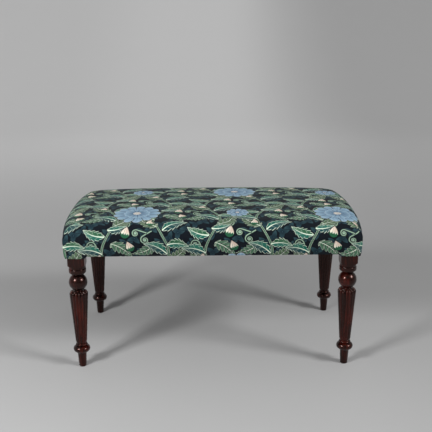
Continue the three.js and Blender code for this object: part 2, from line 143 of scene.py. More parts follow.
class Graph:
    """Adds nodes to one tree and joins them up."""

    def __init__(self, tree: bpy.types.NodeTree) -> None:
        """Starts with the tree as it is."""
        self.tree = tree
        self.entry: Optional[bpy.types.Node] = None
        self.identifiers: dict[str, str] = {}

    def node(self, kind: str, feeds: Optional[dict] = None, **settings: object) -> bpy.types.Node:
        """Adds a node.

        Args:
            kind: The node's type name.
            feeds: What goes into its inputs, by name or number.
            settings: The node's own options.

        Returns:
            The node.
        """
        node = self.tree.nodes.new(kind)
        for name, value in settings.items():
            setattr(node, name, value)
        for name, value in (feeds or {}).items():
            self.feed(node.inputs[name], value)
        return node

    def feed(self, socket: bpy.types.NodeSocket, value: Feed) -> None:
        """Links a wire to an input, or sets its value."""
        if isinstance(value, Wire):
            self.tree.links.new(value.socket, socket)
        elif value is not None:
            socket.default_value = value

    def out(self, node: bpy.types.Node, name: Union[str, int] = 0) -> Wire:
        """One of a node's outputs."""
        return Wire(self, node.outputs[name])

    def add(self, kind: str, feeds: Optional[dict] = None, **settings: object) -> Wire:
        """The first output of a new node."""
        return self.out(self.node(kind, feeds, **settings))

    def math(self, operation: str, *terms: Feed, clamp: bool = False) -> Wire:
        """A sum of one, two or three terms."""
        return self.add("ShaderNodeMath", dict(enumerate(terms)), operation=operation, use_clamp=clamp)

    def least(self, *terms: Feed) -> Wire:
        """The smallest of some terms."""
        return reduce(lambda first, second: self.math("MINIMUM", first, second), terms)

    def most(self, *terms: Feed) -> Wire:
        """The largest of some terms."""
        return reduce(lambda first, second: self.math("MAXIMUM", first, second), terms)

    def sine(self, angle: Feed) -> Wire:
        """The sine of an angle."""
        return self.math("SINE", angle)

    def share(self, value: Feed, whole: Feed) -> Wire:
        """A value as a share of a whole, from nought to one."""
        return self.math("DIVIDE", value, whole, clamp=True)

    def blend(self, value: Feed, rate: Feed, start: Feed = 0.0, clamp: bool = False) -> Wire:
        """A value times a rate, over a start."""
        return self.math("MULTIPLY_ADD", value, rate, start, clamp=clamp)

    def polar(self, x: Wire, y: Wire) -> tuple[Wire, Wire]:
        """The distance from the middle, and the angle about it."""
        return self.math("SQRT", x * x + y * y), self.math("ARCTAN2", y, x)

    def split(self, vector: Wire) -> list[Wire]:
        """The X, Y and Z of a vector."""
        node = self.node("ShaderNodeSeparateXYZ", {0: vector})
        return [self.out(node, i) for i in range(3)]

    def join(self, x: Feed, y: Feed, z: Feed = 0.0) -> Wire:
        """A vector from its X, Y and Z."""
        return self.add("ShaderNodeCombineXYZ", {0: x, 1: y, 2: z})

    def smooth(self, value: Feed, low: Feed, high: Feed, start: float = 0.0, end: float = 1.0) -> Wire:
        """A smooth step of the value, from one level to another."""
        feeds = {"Value": value, "From Min": low, "From Max": high, "To Min": start, "To Max": end}
        return self.add("ShaderNodeMapRange", feeds, interpolation_type="SMOOTHSTEP")

    def mix(self, share: Feed, low: Feed, high: Feed, blend: str = "MIX") -> Wire:
        """A mix of two colours."""
        return self.out(
            self.node("ShaderNodeMix", {0: share, 6: low, 7: high}, data_type="RGBA", blend_type=blend), 2
        )

    def shaded(self, colour: Feed, shade: Wire) -> Wire:
        """A colour darkened or lightened by a shade."""
        return self.mix(1.0, colour, self.join(shade, shade, shade), "MULTIPLY")

    def noise(self, point: Wire, scale: float, detail: float = 2.0, roughness: float = 0.5) -> Wire:
        """A noise value at a point."""
        feeds = {"Vector": point, "Scale": scale, "Detail": detail, "Roughness": roughness}
        return self.out(self.node("ShaderNodeTexNoise", feeds), "Fac")

    def scaled(self, point: Wire, *scale: float) -> Wire:
        """A point with its axes scaled."""
        return self.add("ShaderNodeMapping", {"Vector": point, "Scale": scale})

    def ramp(self, value: Wire, *stops: tuple[float, Colour]) -> Wire:
        """A colour ramp over a value."""
        node = self.node("ShaderNodeValToRGB", {0: value})
        elements = node.color_ramp.elements
        while len(elements) < len(stops):
            elements.new(1.0)
        for element, (place, colour) in zip(elements, stops):
            element.position = place
            element.color = colour
        return self.out(node)

    def inputs(self, *names: str, kind: str = "Float") -> list[Wire]:
        """Named inputs of the group.

        Args:
            names: The inputs' names.
            kind: The end of their socket type's name.

        Returns:
            The wires that carry them.
        """
        for name in names:
            item = self.tree.interface.new_socket(name, in_out="INPUT", socket_type="NodeSocket" + kind)
            self.identifiers[name] = item.identifier
        self.entry = self.entry or self.tree.nodes.new("NodeGroupInput")
        return [Wire(self, self.entry.outputs[name]) for name in names]

    def output(self, name: str, kind: str, wire: Wire) -> None:
        """The group's output, fed by a wire."""
        self.tree.interface.new_socket(name, in_out="OUTPUT", socket_type="NodeSocket" + kind)
        self.feed(self.tree.nodes.new("NodeGroupOutput").inputs[name], wire)

    def finished(self, name: str, geometry: Wire, finish: Wire) -> None:
        """The output of a geometry node tree: its instances made real, in their material."""
        real = self.add("GeometryNodeRealizeInstances", {"Geometry": geometry})
        feeds = {"Geometry": real, "Material": finish}
        self.output(name, "Geometry", self.add("GeometryNodeSetMaterial", feeds))


class Finish:
    """A procedural material. A finish sets what its shader and its bump take."""

    name: str

    def material(self) -> bpy.types.Material:
        """The finish as a material, made once.

        Returns:
            The material.
        """
        title = f"{self.name}_finish"
        made = bpy.data.materials.get(title)
        if made is None:
            made = bpy.data.materials.new(title)
            made.use_nodes = True
            self.paint(Graph(made.node_tree), made.node_tree.nodes["Principled BSDF"])
        return made

    def paint(self, graph: Graph, shader: bpy.types.Node) -> None:
        """Feeds the shader."""
        raise NotImplementedError

    @staticmethod
    def here(graph: Graph) -> Wire:
        """The object coordinates."""
        return graph.out(graph.node("ShaderNodeTexCoord"), "Object")

    @staticmethod
    def put(graph: Graph, shader: bpy.types.Node, **values: Feed) -> None:
        """Feeds the shader's inputs. What is the same all over is set on the input itself."""
        for name, value in values.items():
            graph.feed(shader.inputs[name.replace("_", " ")], value)

    def bump(
        self, graph: Graph, shader: bpy.types.Node, height: Wire, depth: float, strength: float = 1.0
    ) -> None:
        """Raises the surface by a height from 0 to 1 times a depth in metres."""
        feeds = {"Height": height, "Distance": depth, "Strength": strength}
        self.put(graph, shader, Normal=graph.add("ShaderNodeBump", feeds))


@dataclass(frozen=True)
class Mahogany(Finish):
    """Dark polished mahogany, with its grain along the leg."""

    name: str = "mahogany"
    dark: Colour = ink(5, 2, 2)
    middle: Colour = ink(15, 4, 3)
    light: Colour = ink(62, 14, 7)
    figure_scale: float = 26.0
    figure_stretch: float = 0.35
    streak_stretch: float = 0.07
    pore_scale: float = 900.0
    pore_stretch: float = 0.04
    pore_depth: float = 0.00006
    ripple_scale: float = 160.0
    gloss: float = 0.2
    specular: float = 0.34
    warmth: Colour = (1.0, 0.42, 0.34, 1.0)
    coat: float = 0.25
    coat_roughness: float = 0.03

    def paint(self, graph: Graph, shader: bpy.types.Node) -> None:
        """Long streaks, a slow figure and fine open pores under a gloss polish."""
        point = self.here(graph)
        long, short, fine = (
            graph.scaled(point, 1.0, 1.0, rate)
            for rate in (self.streak_stretch, self.figure_stretch, self.pore_stretch)
        )
        streaks = graph.noise(long, self.figure_scale * 6, 5.0, 0.62)
        figure = graph.noise(short, self.figure_scale, 3.0)
        tone = graph.blend(figure, 0.55, streaks * 0.45)
        colour = graph.ramp(tone, (0.36, self.dark), (0.5, self.middle), (0.64, self.light))
        pores = graph.smooth(graph.noise(fine, self.pore_scale, 1.0), 0.62, 0.7)
        self.put(
            graph, shader, Base_Color=graph.mix(pores * 0.6, colour, self.dark),
            Roughness=graph.blend(streaks, 0.14, self.gloss), Specular_IOR_Level=self.specular,
            Specular_Tint=self.warmth, Coat_Weight=self.coat, Coat_Roughness=self.coat_roughness,
        )
        ripple = graph.noise(point, self.ripple_scale, 2.0) * 0.6 + (1.0 - pores) * 0.4
        self.bump(graph, shader, ripple, self.pore_depth, 0.6)


@dataclass(frozen=True)
class FrameWood(Finish):
    """Planed, unpolished beech."""

    name: str = "frame_wood"
    pale: Colour = ink(214, 178, 132)
    deep: Colour = ink(178, 134, 88)
    fleck: Colour = ink(138, 92, 58)
    grain_scale: float = 90.0
    grain_depth: float = 0.0002
    fleck_scale: float = 400.0

    def paint(self, graph: Graph, shader: bpy.types.Node) -> None:
        """A plain grain with the short flecks of beech."""
        point = self.here(graph)
        grain = graph.noise(graph.scaled(point, 0.25, 0.25, 1.0), self.grain_scale, 5.0, 0.6)
        spots = graph.noise(graph.scaled(point, 0.5, 0.5, 4.0), self.fleck_scale, 1.0)
        flecks = graph.smooth(spots, 0.66, 0.74)
        colour = graph.ramp(grain, (0.35, self.deep), (0.65, self.pale))
        self.put(graph, shader, Base_Color=graph.mix(flecks * 0.7, colour, self.fleck), Roughness=0.68)
        self.bump(graph, shader, grain, self.grain_depth, 0.5)


@dataclass(frozen=True)
class ScrewSteel(Finish):
    """Zinc-plated steel with a yellow passivation."""

    name: str = "screw_steel"
    plate: Colour = ink(206, 186, 120)
    haze: Colour = ink(176, 168, 150)
    cloud_scale: float = 300.0
    scratch_scale: float = 2400.0
    scratch_depth: float = 0.00002

    def paint(self, graph: Graph, shader: bpy.types.Node) -> None:
        """Cloudy plating with fine scratches."""
        point = self.here(graph)
        clouds = graph.noise(point, self.cloud_scale, 3.0)
        self.put(
            graph, shader, Base_Color=graph.mix(clouds, self.plate, self.haze), Metallic=1.0,
            Roughness=graph.blend(clouds, 0.2, 0.25),
        )
        self.bump(graph, shader, graph.noise(point, self.scratch_scale, 1.0), self.scratch_depth)


@dataclass(frozen=True)
class Woven(Finish):
    """A plain weave, such as jute webbing, hessian or black cambric.

    Attributes:
        warp: The colour of the threads one way.
        weft: The colour of the threads the other way.
        pitch: From one thread to the next.
        worn: The colour of worn places, if it has them.
        nap: How uneven the threads are.
        worn_scale: How close together the worn places are.
    """

    name: str
    warp: Colour
    weft: Colour
    pitch: float
    worn: Optional[Colour] = None
    nap: float = 0.5
    worn_scale: float = 60.0

    def paint(self, graph: Graph, shader: bpy.types.Node) -> None:
        """Threads that pass over and under each other, with slubs."""
        point = self.here(graph)
        along, across = (graph.sine(place * (math.pi / self.pitch)) for place in graph.split(point)[:2])
        slubs = graph.noise(point, 1 / (6 * self.pitch), 3.0, 0.7)
        colour = graph.mix(graph.smooth(along * across, -0.25, 0.25), self.warp, self.weft)
        if self.worn is not None:
            wear = graph.smooth(graph.noise(point, self.worn_scale, 2.0), 0.56, 0.6)
            colour = graph.mix(wear, colour, self.worn)
        shade = graph.blend(slubs, self.nap, 1 - self.nap / 2)
        self.put(graph, shader, Base_Color=graph.shaded(colour, shade), Roughness=0.92, Sheen_Weight=0.15)
        height = abs(along) * 0.5 + abs(across) * 0.5 + slubs * 0.3
        self.bump(graph, shader, height, self.pitch * 0.25, 0.7)


@dataclass(frozen=True)
class Stuffing(Finish):
    """Foam or wadding: pale, matt and full of small hollows."""

    name: str
    pale: Colour
    shade: Colour
    cell: float
    depth: float
    cloud_scale: float = 14.0

    def paint(self, graph: Graph, shader: bpy.types.Node) -> None:
        """Cells or tangled fibre at one scale, and a slow change of tone."""
        point = self.here(graph)
        feeds = {"Vector": point, "Scale": 1 / self.cell, "Randomness": 1.0}
        cells = graph.out(graph.node("ShaderNodeTexVoronoi", feeds), "Distance")
        share = graph.blend(cells, 0.5, graph.noise(point, self.cloud_scale, 3.0) * 0.5, clamp=True)
        self.put(graph, shader, Base_Color=graph.mix(share, self.pale, self.shade), Roughness=0.97)
        self.bump(graph, shader, cells, self.depth, 0.8)


def seen_rays(graph: Graph) -> Wire:
    """One for what the camera sees, also in a gloss or through glass, and nought for light."""
    path = graph.node("ShaderNodeLightPath")
    rays = ("Is Camera Ray", "Is Glossy Ray", "Is Transmission Ray")
    return graph.most(*(graph.out(path, ray) for ray in rays))


@dataclass(frozen=True)
class PaperGrey(Finish):
    """The studio's plain grey sweep.

    Attributes:
        tone: Its colour.
        side: Where the floor's colour is darkened along X as painted shade towards the right, from and to, and
            its share at both.
        glow: How much painted light its far part glows with, from and to, and how much at both.
        right: How the painted glow changes along X on the right.
        left: How it changes along X on the left.
        front: How it changes along Y.
    """

    name: str = "studio_sweep"
    tone: Colour = ink(182, 182, 182)
    # painted shade: the floor's colour falls to 0.84 towards the right
    side: Steps = (0.3, 1.0, 1.0, 0.84)
    # painted light: how strongly the far part of the sweep glows
    glow: Steps = (0.44, 4.0, 0.0, 0.305)
    right: Steps = (0.1, 1.6, 1.0, 0.58)
    left: Steps = (-1.6, -0.4, 0.88, 1.0)
    front: Steps = (-2.4, 0.2, 0.5, 1.0)

    def paint(self, graph: Graph, shader: bpy.types.Node) -> None:
        """A flat grey with a hardly visible mottle, darkened to the right as painted shade. Its far part glows
        brighter with painted light, more so left of the middle.
        """
        point = self.here(graph)
        x, y, _ = graph.split(point)
        # painted shade: the step along X darkens the floor's colour towards the right; the noise is a mottle
        shade = graph.blend(graph.noise(point, 3.0, 2.0), 0.03, 0.985) * graph.smooth(x, *self.side)
        # painted light: emission for seen rays, brighter far out, dimmer to the right, a little dimmer far
        # left, dimmer towards the front
        far = graph.smooth(graph.math("SQRT", x * x + y * y), *self.glow)
        sides = graph.smooth(x, *self.right) * graph.smooth(x, *self.left)
        self.put(
            graph, shader, Base_Color=graph.shaded(self.tone, shade), Roughness=0.9, Specular_IOR_Level=0.1,
            Emission_Color=(1.0, 1.0, 1.0, 1.0),
            Emission_Strength=seen_rays(graph) * far * sides * graph.smooth(y, *self.front),
        )


@dataclass(frozen=True)
class Repeat:
    """How a motif repeats over the cloth.

    Attributes:
        width: From one column to the next.
        height: From one row to the next.
        drop: How far each column is dropped from the one before.
    """

    width: float
    height: float
    drop: float

    @property
    def feeds(self) -> dict[str, float]:
        """The inputs of a motif's group that say how it repeats."""
        return {"Repeat X": self.width, "Repeat Y": self.height, "Drop": self.drop}


class Motif:
    """A printed motif: a node group that lays its shape over the colour below it.

    Its own X runs along it and its Y across it, from its root or its centre.
    """

    name = "motif"
    edge = 1500.0  # how sharply a printed edge ends, over one metre
    keyline = 2.1 * MM  # the ground colour left round a motif

    def __init__(self) -> None:
        """Builds the group."""
        self.graph = Graph(bpy.data.node_groups.new(self.name, "ShaderNodeTree"))
        below, ground = self.graph.inputs("Below", "Ground", kind="Color")
        margin, colour = self.draw(*self.local())
        around = self.graph.mix(self.solid(margin + self.keyline), below, ground)
        self.graph.output("Colour", "Color", self.graph.mix(self.solid(margin), around, colour))

    def solid(self, margin: Wire) -> Wire:
        """One where a margin is more than nought, and nought elsewhere, with a soft edge."""
        return self.graph.math("MULTIPLY", margin, self.edge, clamp=True)

    def local(self) -> tuple[Wire, Wire]:
        """The motif's own X and Y at a point of the cloth, in the nearest of its repeats."""
        g = self.graph
        (point,) = g.inputs("Point", kind="Vector")
        x0, y0, turn, width, height, drop = g.inputs("X", "Y", "Turn", "Repeat X", "Repeat Y", "Drop")
        u, v, _ = g.split(point)
        u, v = u - x0, v - y0
        v = v + g.math("ROUND", u / width) * drop
        u = g.math("WRAP", u, width * 0.5, width * -0.5)
        v = g.math("WRAP", v, height * 0.5, height * -0.5)
        feeds = {"Vector": g.join(u, v), "Angle": turn * -1.0}
        x, y, _ = g.split(g.add("ShaderNodeVectorRotate", feeds, rotation_type="Z_AXIS"))
        return x, y

    def draw(self, x: Wire, y: Wire) -> tuple[Wire, Wire]:
        """The distance inside the motif's edge, and its colour there."""
        raise NotImplementedError

    def lay(self, sheet: Graph, below: Feed, point: Wire, repeat: Repeat, **values: Feed) -> Wire:
        """Lays the motif on the print.

        Args:
            sheet: The graph of the print.
            below: The colour so far.
            point: The place on the cloth.
            repeat: How the motif repeats.
            values: The group's own inputs, with spaces written as underscores and the turn in degrees.

        Returns:
            The colour with the motif over it.
        """
        feeds = {"Below": below, "Point": point, **repeat.feeds}
        feeds.update({name.replace("_", " "): value for name, value in values.items()})
        feeds["Turn"] = math.radians(feeds.get("Turn", 0.0))
        return sheet.add("ShaderNodeGroup", feeds, node_tree=self.graph.tree)


class Leaf(Motif):
    """A pointed, toothed leaf with a midrib and slanted veins."""

    name = "print_leaf"
    outline, rib, vein = 1.9 * MM, 2.1 * MM, 0.55 * MM

    def draw(self, x: Wire, y: Wire) -> tuple[Wire, Wire]:
        """The margin follows a fuller curve near the root, and the teeth point to the tip."""
        g = self.graph
        length, fullness, bend, teeth, tooth, pitch, slant = g.inputs(
            "Length", "Fullness", "Bend", "Teeth", "Tooth", "Vein Pitch", "Vein Slant"
        )
        left, right, line = g.inputs("Left", "Right", "Line", kind="Color")
        share = g.share(x, length)
        side = y - bend * x * (1.0 - share)
        half = g.sine(share**0.78 * math.pi) * (length * fullness - g.math("FRACT", share * teeth) * tooth)
        margin = g.least(half - abs(side), x, length - x)
        vein = self.solid(self.vein - g.math("PINGPONG", x - abs(side) * slant, pitch * 0.5))
        vein = vein * g.math("MULTIPLY", margin, 350.0, clamp=True)
        rib = self.solid((1.15 - share) * self.rib - abs(side))
        lines = g.most(self.solid(self.outline - margin), rib, vein)
        colour = g.mix(g.blend(side, self.edge, 0.5, clamp=True), right, left)
        colour = g.mix(share * share * 0.14, colour, line)
        return margin, g.mix(lines, colour, line)


class Bud(Motif):
    """A closed, pointed bud in two folds, held in a short calyx."""

    name = "print_bud"
    outline, seam, rim = 0.6 * MM, 0.7 * MM, 1.3 * MM

    def draw(self, x: Wire, y: Wire) -> tuple[Wire, Wire]:
        """The calyx covers the root, and its edge is drawn in points."""
        g = self.graph
        length, fullness = g.inputs("Length", "Fullness")
        pale, shade, line, calyx, rim = g.inputs("Pale", "Shade", "Line", "Calyx", "Rim", kind="Color")
        share = g.share(x, length)
        half = g.sine(share**0.62 * math.pi) * (length * fullness)
        margin = g.least(half - abs(y), x, length - x)
        fold = abs(y - (1.0 - share) * share * length * 0.32)
        colour = g.mix(g.blend(y, 260.0, 0.5, clamp=True), shade, pale)
        colour = g.mix(g.most(self.solid(self.seam - fold), self.solid(self.outline - margin)), colour, line)
        points = x - length * 0.3 - g.math("PINGPONG", y + length * 0.5, length * 0.09) * 1.6
        cup = g.mix(self.solid(points + self.rim), calyx, rim)
        return margin, g.mix(self.solid(points), cup, colour)


class Frond(Motif):
    """A feathery frond: slanted leaflets either side of a stalk."""

    name = "print_frond"
    outline, stalk, core = 1.25 * MM, 1.9 * MM, 1.1 * MM

    def draw(self, x: Wire, y: Wire) -> tuple[Wire, Wire]:
        """Each leaflet is widest half way out."""
        g = self.graph
        length, fullness, bend, pitch, slant = g.inputs(
            "Length", "Fullness", "Bend", "Leaflet Pitch", "Leaflet Slant"
        )
        fill, line = g.inputs("Fill", "Line", kind="Color")
        share = g.share(x, length)
        side = abs(y - bend * x * (1.0 - share))
        half = g.sine(share**0.6 * math.pi) * (length * fullness) + 0.01 * MM
        reach = g.share(side, half)
        off_middle = pitch * 0.5 - g.math("PINGPONG", x - side * slant, pitch * 0.5)
        leaflet = g.sine(reach * math.pi) ** 0.6 * (pitch * 0.47) - off_middle
        margin = g.least(g.most(leaflet, (1.05 - share) * self.stalk - side), half - side, x, length - x)
        lines = g.most(self.solid(self.outline - margin), self.solid(self.core - side))
        return margin, g.mix(lines, g.mix(reach * 0.12, fill, line), line)


class Rosette(Motif):
    """A round flower with two rings of petals about a seeded eye."""

    name = "print_rosette"
    inner = 0.56  # the inner petals' reach, as a share of the outer ones'
    middle = 0.17  # the eye's
    seed_rate = 2600.0

    def ring(self, polar: tuple[Wire, Wire], reach: Wire, petals: Wire, offset: float) -> tuple[Wire, Wire]:
        """The margin of a ring of petals, and the distance from the line between two of them."""
        radius, angle = polar
        wave = abs(self.graph.math("COSINE", angle * petals * 0.5 + offset))
        return reach * (wave**0.45 * 0.24 + 0.76) - radius, wave * radius * 2.0 / petals

    def draw(self, x: Wire, y: Wire) -> tuple[Wire, Wire]:
        """The petals are paler at their tips, and are streaked along their length."""
        g = self.graph
        reach, petals = g.inputs("Radius", "Petals")
        pale, deep, line, eye, shade = g.inputs("Pale", "Deep", "Line", "Eye", "Shade", kind="Color")
        polar = radius, angle = g.polar(x, y)
        share = radius / reach
        streak = g.sine(angle * petals * 3.0) * 0.5 + 0.5

        def painted(
            size: Wire, offset: float, rate: float, streaks: float, start: float, edge: float, seam: float
        ) -> tuple[Wire, Wire]:
            """The margin and the colour of one ring of petals."""
            margin, gap = self.ring(polar, size, petals, offset)
            colour = g.mix(g.blend(share, rate, streak * streaks - start, clamp=True), deep, pale)
            colour = g.mix(self.solid(edge - margin), colour, line)
            return margin, g.mix(self.solid(seam - gap), colour, shade)

        margin, colour = painted(reach, 0.0, 1.1, 0.35, 0.3, 1.5 * MM, 1.4 * MM)
        inner, inner_colour = painted(reach * self.inner, QUARTER, 1.5, 0.3, 0.1, 1.4 * MM, 1.1 * MM)
        colour = g.mix(self.solid(inner), colour, inner_colour)
        middle = reach * self.middle - radius
        seeds = g.sine(x * self.seed_rate) * g.sine(y * self.seed_rate)
        seeded = g.mix(self.solid(0.9 * MM - middle), g.mix(g.smooth(seeds, 0.1, 0.4), eye, deep), line)
        return margin, g.mix(self.solid(middle), colour, seeded)


class Spray(Motif):
    """Small leaves or petals set out round a point."""

    name = "print_spray"
    outline, eye = 0.6 * MM, 1.2 * MM

    def draw(self, x: Wire, y: Wire) -> tuple[Wire, Wire]:
        """Each leaf is widest half way out."""
        g = self.graph
        reach, count, fullness = g.inputs("Radius", "Count", "Fullness")
        fill, line = g.inputs("Fill", "Line", kind="Color")
        radius, angle = g.polar(x, y)
        half_turn = math.pi / count
        off_axis = g.math("WRAP", angle, half_turn, half_turn * -1.0)
        share = g.share(radius, reach)
        swell = g.sine(share**0.85 * math.pi) * reach * fullness
        margin = g.least(swell - radius * abs(g.sine(off_axis)), reach - radius)
        lines = g.most(self.solid(self.outline - margin), self.solid(self.eye - radius))
        return margin, g.mix(lines, g.mix(share * 0.4, fill, line), line)


class Tendril(Motif):
    """A thin stalk that ends in a spiral."""

    name = "print_tendril"
    shrink = 0.6  # how much smaller each turn of the spiral is
    outline = 0.8 * MM

    def draw(self, x: Wire, y: Wire) -> tuple[Wire, Wire]:
        """Two turns of the spiral, and a straight tail that leaves its outer end."""
        g = self.graph
        reach, tail, thickness = g.inputs("Radius", "Tail", "Thickness")
        fill, line = g.inputs("Fill", "Line", kind="Color")
        radius, angle = g.polar(x, y)
        turn = angle * (1 / TAU) + 0.5
        first = reach * (1.0 - turn * self.shrink)
        spiral = g.least(abs(radius - first), abs(radius - first * (1 - self.shrink)))
        curl = thickness * (1.15 - turn * 0.4) - spiral
        eye = reach * (1 - self.shrink) ** 2 * 1.3 - radius
        straight = g.least(thickness * 1.15 - abs(x + reach), y, tail - y)
        margin = g.most(curl, eye, straight)
        return margin, g.mix(self.solid(self.outline - margin), fill, line)


class Stem(Motif):
    """A stem that waves up the cloth, once in each repeat."""

    name = "print_stem"
    outline, core = 1.3 * MM, 0.4 * MM

    def draw(self, x: Wire, y: Wire) -> tuple[Wire, Wire]:
        """A ribbon of one thickness, with a light line down each edge."""
        g = self.graph
        sway, wave, thickness = g.inputs("Sway", "Wave", "Thickness")
        fill, line = g.inputs("Fill", "Line", kind="Color")
        off = abs(x - sway * g.sine(y * TAU / wave))
        margin = thickness - off
        return margin, g.mix(g.most(self.solid(self.outline - margin), self.solid(self.core - off)), fill, line)


@dataclass(frozen=True)
class PrintedCloth(Finish):
    """Printed cotton: leaves, fronds and round flowers on a near-black blue ground."""

    name: str = "printed_cloth"
    ground: Colour = ink(9, 17, 25)
    shadow: Colour = ink(10, 28, 40)
    dim: Colour = ink(74, 114, 120)
    teal: Colour = ink(14, 98, 84)
    deep_teal: Colour = ink(8, 62, 68)
    green: Colour = ink(36, 90, 62)
    olive: Colour = ink(52, 84, 50)
    mint: Colour = ink(224, 240, 218)
    sage: Colour = ink(140, 174, 148)
    cream: Colour = ink(232, 222, 206)
    blush: Colour = ink(208, 190, 174)
    madder: Colour = ink(74, 40, 44)
    slate: Colour = ink(30, 48, 72)
    sky: Colour = ink(74, 106, 136)
    pale_sky: Colour = ink(150, 180, 200)
    frost: Colour = ink(222, 230, 234)
    column: float = 0.15
    row: float = 0.25
    weave_pitch: float = 0.0005
    fade_scale: float = 55.0
    nap_scale: float = 240.0

    def paint(self, graph: Graph, shader: bpy.types.Node) -> None:
        """The print, a fine weave and a soft nap."""
        point = graph.add("ShaderNodeUVMap", uv_map="cloth")
        fade = graph.blend(graph.noise(point, self.fade_scale, 3.0), 0.22, 0.9)
        self.put(
            graph, shader, Base_Color=graph.shaded(self.printed(graph, point), fade), Roughness=0.84,
            Specular_IOR_Level=0.15, Sheen_Weight=0.04, Sheen_Roughness=0.5,
        )
        warp, weft = (abs(graph.sine(place * (math.pi / self.weave_pitch))) for place in graph.split(point)[:2])
        height = warp * 0.5 + weft * 0.5 + graph.noise(point, self.nap_scale, 2.0)
        self.bump(graph, shader, height, self.weave_pitch * 0.2, 0.5)

    def printed(self, graph: Graph, point: Wire) -> Wire:
        """The print's colour at a point of the cloth.

        Args:
            graph: The graph of the material.
            point: The place on the cloth, in metres from the middle of the seat.

        Returns:
            The colour.
        """
        plain = Repeat(self.column, self.row, self.row / 2)
        wide = Repeat(self.column * 2, self.row * 2, self.row)
        tiny = Repeat(self.column / 3, self.row / 4, self.row / 8)
        colour: Feed = self.ground

        def lay(motif: Motif, repeat: Repeat, names: str, *rows: Sequence[Feed], **same: Feed) -> None:
            """Lays a motif over the print so far, once for each row of values."""
            nonlocal colour
            for row in rows:
                values = dict(zip(names.split(), row))
                colour = motif.lay(graph, colour, point, repeat, Ground=self.ground, **values, **same)

        lay(
            Spray(), tiny, "X Y Turn Radius", (0.0, 0.0, 20, 0.024), (0.025, 0.016, 74, 0.022),
            Count=3.0, Fullness=0.3, Fill=self.shadow, Line=self.dim,
        )
        lay(
            Tendril(), plain, "X Y Turn Radius",
            (0.05, 0.035, 30, 0.015), (-0.052, -0.035, 200, 0.014), (0.052, -0.085, 120, 0.012),
            (-0.045, 0.105, 300, 0.013), (0.078, 0.0, 250, 0.011),
            Tail=0.03, Thickness=0.0015, Fill=self.sage, Line=self.mint,
        )
        lay(Stem(), plain, "Sway Thickness", (0.022, 0.0034), Wave=self.row, Fill=self.green, Line=self.mint)
        lay(
            Frond(), plain, "X Y Turn Length Bend Fill",
            (-0.012, -0.105, 132, 0.085, 0.35, self.olive), (0.017, 0.028, 48, 0.085, -0.4, self.olive),
            (-0.016, 0.09, 204, 0.075, 0.4, self.green), (0.006, -0.03, -40, 0.08, 0.4, self.green),
            Fullness=0.25, Leaflet_Pitch=0.0135, Leaflet_Slant=0.95, Line=self.mint,
        )
        lay(
            Leaf(), plain, "X Y Turn Length Fullness Bend Left Right",
            (0.004, -0.118, 24, 0.082, 0.26, 0.45, self.teal, self.deep_teal),
            (-0.02, -0.066, 168, 0.074, 0.27, -0.45, self.deep_teal, self.teal),
            (-0.01, -0.008, 158, 0.07, 0.26, 0.45, self.teal, self.green),
            (0.018, 0.056, 152, 0.078, 0.26, -0.45, self.deep_teal, self.teal),
            (0.016, 0.088, -6, 0.066, 0.27, 0.45, self.green, self.teal),
            (-0.004, 0.012, 14, 0.06, 0.27, -0.4, self.teal, self.deep_teal),
            Teeth=6.0, Tooth=0.0062, Vein_Pitch=0.016, Vein_Slant=0.9, Line=self.mint,
        )
        lay(
            Rosette(), wide, "X Y Radius Petals", (0.075, 0.115, 0.07, 13.0), (0.075, -0.135, 0.034, 9.0),
            Pale=self.pale_sky, Deep=self.sky, Line=self.frost, Eye=self.cream, Shade=self.slate,
        )
        lay(
            Bud(), plain, "X Y Turn Length",
            (0.045, -0.014, 78, 0.038), (0.066, -0.056, 112, 0.035), (-0.032, -0.1, 84, 0.034),
            Fullness=0.34, Pale=self.cream, Shade=self.blush, Line=self.madder, Calyx=self.green, Rim=self.mint,
        )
        return colour


@dataclass
class MeshParts:
    """Points, faces and, where the piece has one, the place of each face corner on the flat cloth."""

    points: list
    faces: list[Face]
    flat: Optional[Places] = None

    def build(self, name: str, finish: Finish) -> bpy.types.Object:
        """Makes the object.

        Args:
            name: The piece's name.
            finish: What it is made of.

        Returns:
            The object, linked to the scene and shaded smooth.
        """
        mesh = bpy.data.meshes.new(name)
        mesh.from_pydata([tuple(map(float, point)) for point in self.points], [], self.faces)
        if self.flat is not None:
            layer = mesh.uv_layers.new(name="cloth")
            layer.data.foreach_set("uv", np.array(self.flat, np.float32).ravel())
        mesh.materials.append(finish.material())
        mesh.shade_smooth()
        return link(mesh, name)


def link(data: bpy.types.ID, name: str) -> bpy.types.Object:
    """Puts a mesh, a lamp or a camera in the scene as an object."""
    piece = bpy.data.objects.new(name, data)
    bpy.context.scene.collection.objects.link(piece)
    return piece


def draw_lines(name: str, points: Sequence, edges: list[tuple[int, int]]) -> bpy.types.Object:
    """Makes an object of lines only, for a geometry node tree to work from."""
    mesh = bpy.data.meshes.new(name)
    mesh.from_pydata([tuple(map(float, point)) for point in points], edges, [])
    return link(mesh, name)


def settle(piece: bpy.types.Object) -> bpy.types.Object:
    """Turns a piece and its modifiers into a plain mesh.

    Args:
        piece: The object, with its modifiers.

    Returns:
        The same object with the result as its mesh and no modifiers.
    """
    bpy.context.view_layer.update()
    graph = bpy.context.evaluated_depsgraph_get()
    result = bpy.data.meshes.new_from_object(
        piece.evaluated_get(graph), preserve_all_data_layers=True, depsgraph=graph
    )
    old = piece.data
    piece.modifiers.clear()
    piece.data = result
    bpy.data.meshes.remove(old)
    result.name = piece.name
    return piece


def grow(piece: bpy.types.Object, graph: Graph, **values: object) -> bpy.types.Object:
    """Runs a geometry node tree on a piece and keeps the result as its mesh.

    Args:
        piece: The object whose mesh goes in.
        graph: The graph of the tree, with its named inputs.
        values: The inputs, with spaces written as underscores.

    Returns:
        The piece.
    """
    modifier = piece.modifiers.new(graph.tree.name, "NODES")
    modifier.node_group = graph.tree
    for name, value in values.items():
        modifier[graph.identifiers[name.replace("_", " ")]] = value
    return settle(piece)


